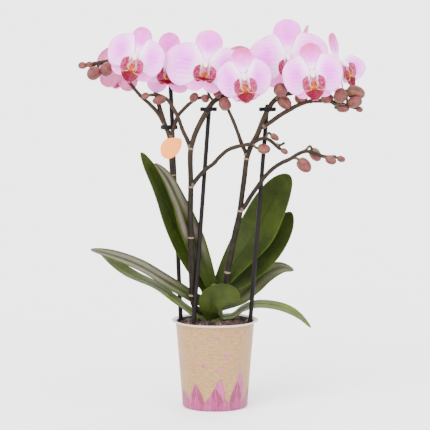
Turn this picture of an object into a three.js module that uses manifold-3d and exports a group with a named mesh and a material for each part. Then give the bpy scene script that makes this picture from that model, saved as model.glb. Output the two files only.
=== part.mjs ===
// A moth orchid in its nursery pot: three flower spikes tied to three stakes, ten open blooms,
// their buds, nine leaves, a crown standing in bark, and a small plain tag on one spike.
// Millimetres, +Z up, +X to the right of the flowers' front, the front towards -Y.
// The origin is the middle of the pot's flat underside.
import * as THREE from 'three';
import { mergeVertices } from 'three/addons/utils/BufferGeometryUtils.js';
import Module from 'manifold-3d';

// ---- driving dimensions ------------------------------------------------------------------
const GAP = 0.35; // left between pieces that touch
const POT = {
  height: 91,
  rimRadius: 45,
  topRadius: 40.8,
  footRadius: 34,
  wall: 0.9,
  floor: 1.6,
  rimThickness: 1.5,
  footRounding: 2.5,
  drainHoles: 5,
  drainRadius: 3,
  drainCircle: 21,
  segments: 24,
};
const BARK = { level: 86, chips: 18, seed: 7 };
const STAKE_RADIUS = 2.25;
const CLIP = { height: 4.2, grip: 2.95, wall: 1.3, wing: 8.8, wingThickness: 2, knob: 4.2 };
const TAG = { size: 22, thickness: 0.8, grip: 2.75, collar: 1.3, collarHeight: 3 };
const LEAF_THICKNESS = 2;
const BLADE = 0.9; // thickness of petals, sepals and lip lobes
const HUB_RADIUS = 4;
const FOLD_FROM = 5; // cupped petals fold forward from this far to each side of the bloom's middle
const ROOT = 2.6; // petals and sepals start this far from the bloom's middle, inside the hub
const BLUNT = 0.09; // square of the half width left at the tip of a petal or sepal, as a share

const LOOK = {
  pot: ['#dcc7aa', 0.6],
  bark: ['#5f4236', 0.95],
  crown: ['#6d7a3c', 0.6],
  leaf: ['#41591f', 0.4],
  stake: ['#32282c', 0.45],
  clip: ['#1f1b1e', 0.5],
  tag: ['#efc09b', 0.8],
  spike: ['#6b5b50', 0.6],
  petal: ['#efc6ee', 0.55],
  lip: ['#c63358', 0.45],
};

// ---- small tools -------------------------------------------------------------------------
const wasm = await Module();
wasm.setup();

const vec = (p) => new THREE.Vector3(p[0], p[1], p[2]);
const mix = (a, b, t) => a + (b - a) * t;

/** A repeatable stream of numbers from 0 to 1. */
function randomStream(seed) {
  let state = seed;
  return () => {
    state = (Math.imul(state, 1664525) + 1013904223) >>> 0;
    return state / 4294967296;
  };
}

/** Keeps positions only, shares the corners and drops triangles that closed up. */
function shareCorners(geometry) {
  const bare = geometry.clone();
  bare.deleteAttribute('normal');
  bare.deleteAttribute('uv');
  bare.clearGroups();
  const merged = mergeVertices(bare, 1e-4);
  const old = merged.index.array;
  const kept = [];
  for (let i = 0; i < old.length; i += 3) {
    const [a, b, c] = [old[i], old[i + 1], old[i + 2]];
    if (a !== b && b !== c && c !== a) kept.push(a, b, c);
  }
  merged.setIndex(kept);
  return merged;
}

function toManifold(geometry) {
  const merged = shareCorners(geometry);
  const mesh = new wasm.Mesh({
    numProp: 3,
    vertProperties: new Float32Array(merged.attributes.position.array),
    triVerts: new Uint32Array(merged.index.array),
  });
  return new wasm.Manifold(mesh);
}

/** The outer body of a solid as a geometry: pockets sealed by a join are filled, scraps dropped. */
function toGeometry(manifold) {
  const bodies = manifold.decompose().sort((a, b) => b.volume() - a.volume());
  const mesh = bodies[0].getMesh();
  const geometry = new THREE.BufferGeometry();
  geometry.setAttribute('position', new THREE.BufferAttribute(mesh.vertProperties, 3));
  geometry.setIndex(new THREE.BufferAttribute(mesh.triVerts, 1));
  return geometry;
}

/** Joins closed geometries into one body. */
function fuse(geometries) {
  let whole = toManifold(geometries[0]);
  for (const geometry of geometries.slice(1)) whole = whole.add(toManifold(geometry));
  return toGeometry(whole);
}

/** Cuts the tools out of a closed geometry. */
function carve(geometry, tools) {
  let body = toManifold(geometry);
  for (const tool of tools) body = body.subtract(toManifold(tool));
  return toGeometry(body);
}

/** A geometry from its corners and the corner numbers of its triangles. */
function fromCorners(corners, triangles) {
  const geometry = new THREE.BufferGeometry();
  geometry.setAttribute('position', new THREE.Float32BufferAttribute(corners.flatMap((p) => p.toArray()), 3));
  geometry.setIndex(triangles);
  return geometry;
}

/**
 * A thin closed blade. middle(u, v) is its middle surface, u from 0 to 1 along it and v from
 * -1 to 1 across it. Both faces lie half the thickness off it and are split alike.
 */
function blade(rows, columns, middle, thickness) {
  const at = (i, j) => middle(i / rows, (2 * j) / columns - 1);
  const corners = [];
  for (const side of [0.5, -0.5]) {
    for (let i = 0; i <= rows; i += 1) {
      for (let j = 0; j <= columns; j += 1) {
        const along = at(Math.min(i + 1, rows), j).sub(at(Math.max(i - 1, 0), j));
        const across = at(i, Math.min(j + 1, columns)).sub(at(i, Math.max(j - 1, 0)));
        const normal = along.cross(across).normalize();
        corners.push(at(i, j).addScaledVector(normal, side * thickness));
      }
    }
  }
  const front = (i, j) => i * (columns + 1) + j;
  const behind = (rows + 1) * (columns + 1);
  const triangles = [];
  for (let i = 0; i < rows; i += 1) {
    for (let j = 0; j < columns; j += 1) {
      const [a, b, c, d] = [front(i, j), front(i + 1, j), front(i + 1, j + 1), front(i, j + 1)];
      triangles.push(a, b, c, a, c, d);
      triangles.push(behind + a, behind + c, behind + b, behind + a, behind + d, behind + c);
    }
  }
  const edge = [];
  for (let i = 0; i < rows; i += 1) edge.push(front(i, 0));
  for (let j = 0; j < columns; j += 1) edge.push(front(rows, j));
  for (let i = rows; i > 0; i -= 1) edge.push(front(i, columns));
  for (let j = columns; j > 0; j -= 1) edge.push(front(0, j));
  edge.forEach((a, k) => {
    const b = edge[(k + 1) % edge.length];
    triangles.push(b, a, behind + a, b, behind + a, behind + b);
  });
  return fromCorners(corners, triangles);
}

/** Evenly spaced stations of a stem whose radius runs from first to last. */
function taper(first, last, divisions) {
  return Array.from({ length: divisions + 1 }, (_, i) => [i / divisions, mix(first, last, i / divisions)]);
}

/**
 * A round stem along a smooth curve through the points, with flat ends. Each station is a place
 * along the curve, from 0 to 1, and the radius there.
 */
function stem(points, stations, sides) {
  const curve = new THREE.CatmullRomCurve3(points);
  const divisions = stations.length - 1;
  const corners = [];
  const triangles = [];
  let normal = null;
  for (const [t, radius] of stations) {
    const centre = curve.getPointAt(t);
    const tangent = curve.getTangentAt(t);
    if (!normal) normal = new THREE.Vector3(tangent.z, tangent.x, tangent.y);
    normal.addScaledVector(tangent, -normal.dot(tangent)).normalize();
    const binormal = tangent.clone().cross(normal);
    for (let k = 0; k < sides; k += 1) {
      const turn = (2 * Math.PI * k) / sides;
      const out = normal.clone().multiplyScalar(Math.cos(turn)).addScaledVector(binormal, Math.sin(turn));
      corners.push(centre.clone().addScaledVector(out, radius));
    }
  }
  for (let i = 0; i < divisions; i += 1) {
    for (let k = 0; k < sides; k += 1) {
      const next = (k + 1) % sides;
      const [a, b] = [i * sides + k, i * sides + next];
      triangles.push(a, b, b + sides, a, b + sides, a + sides);
    }
  }
  const last = divisions * sides;
  for (let k = 1; k < sides - 1; k += 1) {
    triangles.push(0, k + 1, k);
    triangles.push(last, last + k, last + k + 1);
  }
  return fromCorners(corners, triangles);
}

/** A straight rod from one point to another. */
function rod(from, to, radius, sides) {
  return stem([vec(from), vec(to)], taper(radius, radius, 1), sides);
}

const root = new THREE.Group();

function addPart(name, geometry, look, parent = root) {
  const [color, roughness] = LOOK[look];
  const material = new THREE.MeshStandardMaterial({ color, roughness, metalness: 0 });
  const mesh = new THREE.Mesh(geometry, material);
  mesh.name = name;
  parent.add(mesh);
  return mesh;
}

// ---- pot -----------------------------------------------------------------------------------
/** Inside radius of the tapering wall at a height. */
function potInside(z) {
  return mix(POT.footRadius, POT.topRadius, z / POT.height) - POT.wall;
}

function potGeometry() {
  const { height, rimRadius, topRadius, footRadius, rimThickness, footRounding } = POT;
  const neck = height - 2.2;
  const profile = [
    [0, 0],
    [footRadius - footRounding - 0.6, 0],
    [footRadius - 0.7, 0.8],
    [footRadius, footRounding],
    [topRadius, neck],
    [rimRadius - 1.4, height - rimThickness],
    [rimRadius, height - 0.6],
    [rimRadius - 0.3, height + 0.3],
    [rimRadius - 1.6, height],
    [topRadius - POT.wall, height - 0.6],
    [potInside(POT.floor), POT.floor],
    [0, POT.floor],
  ].map(([r, z]) => new THREE.Vector2(r, z));
  const shell = new THREE.LatheGeometry(profile, POT.segments).rotateX(Math.PI / 2);
  const holes = [];
  for (let i = 0; i < POT.drainHoles; i += 1) {
    const turn = (2 * Math.PI * (i + 0.5)) / POT.drainHoles;
    const x = POT.drainCircle * Math.cos(turn);
    const y = POT.drainCircle * Math.sin(turn);
    holes.push(rod([x, y, -2], [x, y, POT.floor + 2], POT.drainRadius, 8));
  }
  return carve(shell, holes);
}

// ---- stakes and the crown --------------------------------------------------------------------
const STAKES = {
  left: { foot: [-34.4, 5, 60], tip: [-45.9, 8, 335] },
  middle: { foot: [-24.2, -20, 60], tip: [-5.8, 3, 313] },
  right: { foot: [34.3, -6, 60], tip: [53.6, -8, 315] },
};

function stakeGeometry({ foot, tip }) {
  return rod(foot, tip, STAKE_RADIUS, 8);
}

/** A stake grown by the gap all round, to cut its room out of what holds it. */
function stakeRoom({ foot, tip }) {
  const past = vec(foot).sub(vec(tip)).normalize().multiplyScalar(GAP).add(vec(foot));
  return rod(past.toArray(), tip, STAKE_RADIUS + GAP, 8);
}

/** A stake's middle at a height. */
function stakeAt({ foot, tip }, z) {
  return vec(foot).lerp(vec(tip), (z - foot[2]) / (tip[2] - foot[2]));
}

/** The short stem that the leaves grow from, blunt at both ends. */
function crownGeometry(extra = 0) {
  const profile = [
    [0, 62 - extra],
    [6 + extra, 64 - extra],
    [9 + extra, 84],
    [9.5 + extra, 100],
    [8 + extra, 116],
    [4.5 + extra, 127],
    [0, 131 + extra],
  ].map(([r, z]) => new THREE.Vector2(r, z));
  const lathe = new THREE.LatheGeometry(profile, 10).rotateX(Math.PI / 2);
  return lathe.translate(-1, 1, 0);
}

// ---- bark ------------------------------------------------------------------------------------
/** The filling of bark: a plug of the pot's inside with chips standing out of its top. */
function barkGeometry(keepClear) {
  const foot = POT.floor + GAP;
  const plug = [
    [0, foot],
    [potInside(foot) - GAP, foot],
    [potInside(BARK.level) - GAP, BARK.level],
    [0, BARK.level + 1.5],
  ].map(([r, z]) => new THREE.Vector2(r, z));
  const pieces = [new THREE.LatheGeometry(plug, POT.segments).rotateX(Math.PI / 2)];
  const draw = randomStream(BARK.seed);
  let tries = 0;
  while (pieces.length <= BARK.chips && tries < 600) {
    tries += 1;
    const size = [mix(10, 17, draw()), mix(7, 10, draw()), mix(4.5, 7, draw())];
    const reach = Math.hypot(size[0], size[1]) / 2;
    const turn = 2 * Math.PI * draw();
    const far = Math.sqrt(draw()) * (potInside(BARK.level) - reach - 1);
    const heap = mix(4.5, 1.2, far / 30);
    const up = BARK.level + heap * draw() + 0.6;
    const place = new THREE.Vector3(far * Math.cos(turn), far * Math.sin(turn), up);
    const tilt = new THREE.Euler(mix(-0.4, 0.4, draw()), mix(-0.4, 0.4, draw()), Math.PI * draw());
    const crowded = keepClear.some(([point, radius]) => point.distanceTo(place) < radius + reach * 0.8);
    if (crowded) continue;
    const chip = new THREE.BoxGeometry(...size).applyMatrix4(new THREE.Matrix4().makeRotationFromEuler(tilt));
    pieces.push(chip.translate(place.x, place.y, place.z));
  }
  return fuse(pieces);
}

// ---- leaves ------------------------------------------------------------------------------------
// Each leaf: the line of its midrib from the crown to the tip, the direction from its midrib to
// its second edge at even steps from base to tip, its greatest half width, how wide its base is as
// a share of that, and how far its edges stand over the midrib.
const LEAVES = {
  'leaf-left-tall': {
    midrib: [[-5, 2, 119], [-18, 3, 141], [-29, 2, 163], [-39, -4, 185], [-49, -10, 208], [-59, -13, 233],
      [-69, -15, 252], [-76, -15, 266]],
    across: [[-0.88, -0.15, -0.45], [-0.82, -0.35, -0.42], [-0.55, -0.75, -0.3], [-0.5, -0.8, -0.2]],
    half: 14, foot: 0.45, fold: 0.2,
  },
  'leaf-left-inner': {
    midrib: [[-4, -1, 126], [-12, -3, 149], [-20, -6, 171], [-30, -10, 195], [-39, -14, 217],
      [-49, -17, 238], [-56, -18, 248], [-62, -18, 255]],
    across: [[-0.88, -0.15, -0.45], [-0.82, -0.35, -0.42], [-0.5, -0.8, -0.3], [-0.5, -0.8, -0.2]],
    half: 12.5, foot: 0.5, fold: 0.15,
  },
  'leaf-left-arching': {
    midrib: [[-6, 0, 106], [-23, -2.5, 114], [-36, -6, 122], [-53, -12, 133], [-72, -19, 146],
      [-89, -25, 155], [-107, -29, 162], [-127, -33, 168]],
    across: [[0.3, -0.5, -0.8], [0.05, -0.85, -0.4], [0, -0.85, -0.3]],
    half: 13, foot: 0.4, fold: 0.15,
  },
  'leaf-left-low': {
    midrib: [[-7, 0, 93], [-24, -5, 99], [-39, -10, 111], [-56, -12, 124], [-69, -13, 131], [-80, -13, 136],
      [-91, -13, 142], [-105, -12, 152], [-121, -10, 166]],
    across: [[0.3, -0.75, -0.55], [0, -0.95, -0.25], [0, -0.8, -0.45]],
    half: 12, foot: 0.4, fold: 0.12,
  },
  'leaf-right-tall': {
    midrib: [[1, 2, 120], [17, 8, 144], [31, 12, 163], [44, 14, 181], [56, 14, 205], [67, 12, 226],
      [77, 10, 241]],
    across: [[-0.5, 0.7, 0.2], [-0.74, 0.52, 0.42], [-0.8, 0.4, 0.45]],
    half: 22, foot: 0.35, fold: 0.1,
  },
  'leaf-right-back': {
    midrib: [[3, 5, 111], [24, 15, 128], [41, 21, 145], [58, 25, 163], [71, 27, 182], [80, 27, 200]],
    across: [[-0.4, 0.75, 0.3], [-0.65, 0.6, 0.4], [-0.7, 0.5, 0.4]],
    half: 17, foot: 0.4, fold: 0.1,
  },
  'leaf-right-lower': {
    midrib: [[3, 4, 102], [26, 16, 111], [40, 23, 122], [54, 29, 134], [69, 33, 140], [83, 34, 138]],
    across: [[-0.35, 0.8, 0.4], [-0.35, 0.8, 0.5], [-0.2, 0.85, 0.4]],
    half: 14, foot: 0.5, fold: 0.12,
  },
  'leaf-right-drooping': {
    midrib: [[2, 3, 92], [18, 7, 93], [30, 11, 100], [43, 14, 104], [60, 15, 103], [77, 13, 98],
      [89, 10, 91], [100, 7, 81]],
    across: [[0, 0.96, 0.25], [0, 0.97, 0.22], [-0.1, 0.9, 0.4]],
    half: 11, foot: 0.5, fold: 0.1,
  },
  'leaf-front-short': {
    midrib: [[0, -7, 93], [-5, -14, 102], [-4, -20, 113], [3, -25, 119], [14, -28, 121], [25, -29, 116]],
    across: [[1, 0, 0], [0.45, -0.2, -0.85], [0.2, -0.3, -0.9]],
    half: 12.5, foot: 0.5, fold: -0.2,
  },
};

/** Half width of a leaf along it, as a share of its widest: a foot, a long belly, a round tip. */
function leafOutline(u, foot) {
  if (u < 0.55) return mix(foot, 1, Math.sin((Math.PI / 2) * (u / 0.55)));
  return Math.sqrt(Math.max(0, 1 - ((u - 0.55) / 0.45) ** 2.2)) * 0.92 + 0.08 * (1 - u) / 0.45;
}

function leafGeometry({ midrib, across, half, foot, fold }) {
  const curve = new THREE.CatmullRomCurve3(midrib.map(vec));
  const surface = (u, v) => {
    const t = Math.min(u, 0.9999);
    const tangent = curve.getTangentAt(t);
    const place = t * (across.length - 1);
    const step = Math.floor(place);
    const side = vec(across[step]).lerp(vec(across[step + 1]), place - step);
    side.addScaledVector(tangent, -side.dot(tangent)).normalize();
    const upper = tangent.clone().cross(side);
    const reach = Math.max(0.9, half * leafOutline(u, foot));
    const point = curve.getPointAt(t).addScaledVector(side, v * reach);
    return point.addScaledVector(upper, fold * reach * v * v);
  };
  return blade(8, 4, surface, LEAF_THICKNESS);
}

// ---- blooms ------------------------------------------------------------------------------------
// In a bloom's own frame x points to its right as seen from the front, y to its top sepal and z
// forward. turn is the heading of its face away from the front, pitch lifts it and roll turns it
// clockwise, in degrees. span is the length of a petal, top that of the upper sepal. cup is how
// far the petals fold forward and lift how far they point up, in degrees. broad holds the half
// widths of a petal above and below its middle as shares of span, crest that of the upper sepal
// as a share of top. low is the angle at which the lower sepals leave the hub and tip is how far
// the lip's front lobe swings forward, in degrees.
const BLOOMS = [
  { at: [-97, 24, 356], turn: 190, pitch: 0, roll: -12, span: 26, top: 31, cup: 0, low: -60 },
  { at: [-80, -24, 365.5], turn: -4, pitch: 0, roll: 17, span: 30, top: 29.5, cup: 3, lift: 10,
    broad: [0.6, 0.66], crest: 0.36 },
  { at: [-47.5, 1.5, 355], turn: 0, pitch: 0, roll: 2, span: 29, top: 33, cup: 0, lift: 0, crest: 0.35,
    low: -58, tip: 56 },
  { at: [-9, -18, 358], turn: 0, pitch: 0, roll: 8, span: 42, top: 33, cup: 0, lift: 3,
    broad: [0.42, 0.68], crest: 0.43, low: -66, tip: 62 },
  { at: [29, -42, 346], turn: 3, pitch: 0, roll: -5, span: 28.5, top: 27, cup: 3, lift: -5,
    crest: 0.44, low: -64 },
  { at: [75, -20, 364.5], turn: 0, pitch: 0, roll: -4, span: 41, top: 37.5, cup: 0, lift: 7,
    broad: [0.52, 0.68], crest: 0.4, tip: 55 },
  { at: [98, -44, 349], turn: 0, pitch: 0, roll: -6, span: 31, top: 29.5, cup: 3, lift: 1, crest: 0.4,
    low: -58 },
  { at: [128.5, 5, 357], turn: 60, pitch: 5, roll: -16, span: 38, top: 32, cup: 30, lift: -28,
    broad: [0.3, 0.4], crest: 0.3 },
  { at: [88, 28, 361], turn: 105, pitch: -20, roll: 0, span: 20, top: 35, cup: 0, broad: [0.5, 0.55],
    crest: 0.22 },
  { at: [25, 16, 343.5], turn: 175, pitch: 0, roll: -3, span: 31, top: 30.5, cup: 0, crest: 0.48 },
];

/** The frame of a bloom: columns are its right, its up and its forward. */
function bloomMatrix({ at, turn, pitch, roll }) {
  const [heading, lift, spin] = [turn, pitch, roll].map(THREE.MathUtils.degToRad);
  const level = new THREE.Vector3(Math.cos(heading), Math.sin(heading), 0);
  const forward = new THREE.Vector3(Math.sin(heading), -Math.cos(heading), 0).multiplyScalar(Math.cos(lift));
  forward.z = Math.sin(lift);
  const upright = forward.clone().cross(level);
  const up = upright.clone().multiplyScalar(Math.cos(spin)).addScaledVector(level, Math.sin(spin));
  const right = level.clone().multiplyScalar(Math.cos(spin)).addScaledVector(upright, -Math.sin(spin));
  return new THREE.Matrix4().makeBasis(right, up, forward).setPosition(vec(at));
}

/**
 * Half width of a petal or sepal along it as a share of its widest: from the claw by a power of a
 * sine to the belly, then an end that rounds off from there to the tip.
 */
function petalOutline(u, [claw, belly, rise, taper]) {
  if (u < belly) return mix(claw, 1, Math.sin((Math.PI / 2) * (u / belly)) ** rise);
  return Math.sqrt(Math.max(BLUNT, 1 - ((u - belly) / (1 - belly)) ** taper));
}

/**
 * One petal or sepal: a blade that leaves the hub at an angle in the bloom's plane, bows back
 * towards its tip and edges and may be folded forward about the bloom's upright axis. above and
 * below each hold the widest half width and the outline on that side of its middle. side is -1
 * for the mirror image to the left of the hub.
 */
function petalGeometry({ angle, length, above, below, depth, fold = 0, side = 1, rows, columns }) {
  const heading = THREE.MathUtils.degToRad(angle);
  const along = new THREE.Vector3(Math.cos(heading), Math.sin(heading), 0);
  const across = new THREE.Vector3(-Math.sin(heading), Math.cos(heading), 0);
  const forwardFold = THREE.MathUtils.degToRad(fold);
  const surface = (u, turnedV) => {
    const v = turnedV * side;
    const { half, form } = v > 0 ? above : below;
    const w = u ** 0.8;
    const reach = half * petalOutline(w, form);
    const point = along.clone().multiplyScalar(ROOT + (length - ROOT) * w).addScaledVector(across, v * reach);
    point.z = depth - w * w * length * 0.06 - v * v * reach * 0.1;
    const outward = Math.max(0, Math.abs(point.x) - FOLD_FROM);
    point.z += outward * Math.sin(forwardFold);
    point.x -= Math.sign(point.x) * outward * (1 - Math.cos(forwardFold));
    point.x *= side;
    return point;
  };
  return blade(rows, columns, surface, BLADE);
}

function bloomGeometry({ span, top, cup, lift = -3, broad = [0.6, 0.7], crest = 0.42, low = -50 }) {
  const above = { half: span * broad[0], form: [0.14, 0.38, 1.2, 1.5] };
  const below = { half: span * broad[1], form: [0.14, 0.56, 0.6, 1.8] };
  const petal = { angle: lift, length: span, above, below, depth: 0.9, fold: cup, rows: 5, columns: 2 };
  const crestSide = { half: top * crest, form: [0.16, 0.58, 0.95, 2.3] };
  const upper = { angle: 90, length: top, above: crestSide, below: crestSide, depth: -1.3 };
  const lowSide = { half: top * 0.34, form: [0.16, 0.6, 1.2, 2.2] };
  const lower = { angle: low, length: top, above: lowSide, below: lowSide, depth: -1.3, rows: 3, columns: 2 };
  const pieces = [
    new THREE.SphereGeometry(HUB_RADIUS, 6, 4).rotateX(Math.PI / 2).scale(1, 1, 0.8),
    petalGeometry(petal),
    petalGeometry({ ...petal, side: -1 }),
    petalGeometry({ ...upper, rows: 4, columns: 2 }),
    petalGeometry(lower),
    petalGeometry({ ...lower, side: -1 }),
    stem([vec([0, 1, 1]), vec([0, -1, 5]), vec([0, -4, 8])], taper(2.4, 1.9, 1), 5),
  ];
  return fuse(pieces);
}

/** The lip: two side lobes curved up round the column, an arrow-shaped front lobe, a callus. */
function lipGeometry({ tip = 0 }) {
  const lobePoints = [[1.6, -16.4, 5.2], [7.2, -17, 6.8], [8, -9.4, 7.8], [5.6, -3, 7.2]];
  const lobeLine = new THREE.CatmullRomCurve3(lobePoints.map(vec));
  const lobeReach = [1.5, 3.4, 3.8, 1.2];
  const sideLobe = (mirror) => (u, v) => {
    const place = Math.min(u, 0.9999) * (lobeReach.length - 1);
    const first = Math.floor(place);
    const reach = mix(lobeReach[first], lobeReach[first + 1], place - first);
    const point = lobeLine.getPointAt(Math.min(u, 0.9999));
    point.x += 0.8 * v * reach;
    point.z += 0.6 * v * reach;
    point.x *= mirror;
    return point;
  };
  const frontHalf = [2.6, 9.4, 7.2, 4.2, 0.6];
  const frontDrop = [-17.4, -19.8, -22.8, -25.6, -27.6];
  const frontLobe = (u, v) => {
    const row = Math.round(u * (frontHalf.length - 1));
    const spread = frontHalf[row] * v;
    const out = Math.abs(spread);
    return new THREE.Vector3(spread, frontDrop[row] + 0.06 * out, 7.4 + 2.2 * u + 0.1 * out);
  };
  const spine = [[0, -3.75, 1.7], [0, -9, 3.8], [0, -16, 9]].map(vec);
  const callus = stem(spine, [[0, 1.2], [0.7, 4.2], [1, 3.2]], 6);
  const front = blade(4, 2, frontLobe, BLADE).translate(0, 15.5, -6.5);
  front.rotateX(-THREE.MathUtils.degToRad(tip)).translate(0, -15.5, 6.5);
  return fuse([callus, blade(3, 1, sideLobe(1), BLADE), blade(3, 1, sideLobe(-1), BLADE), front]);
}

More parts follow.
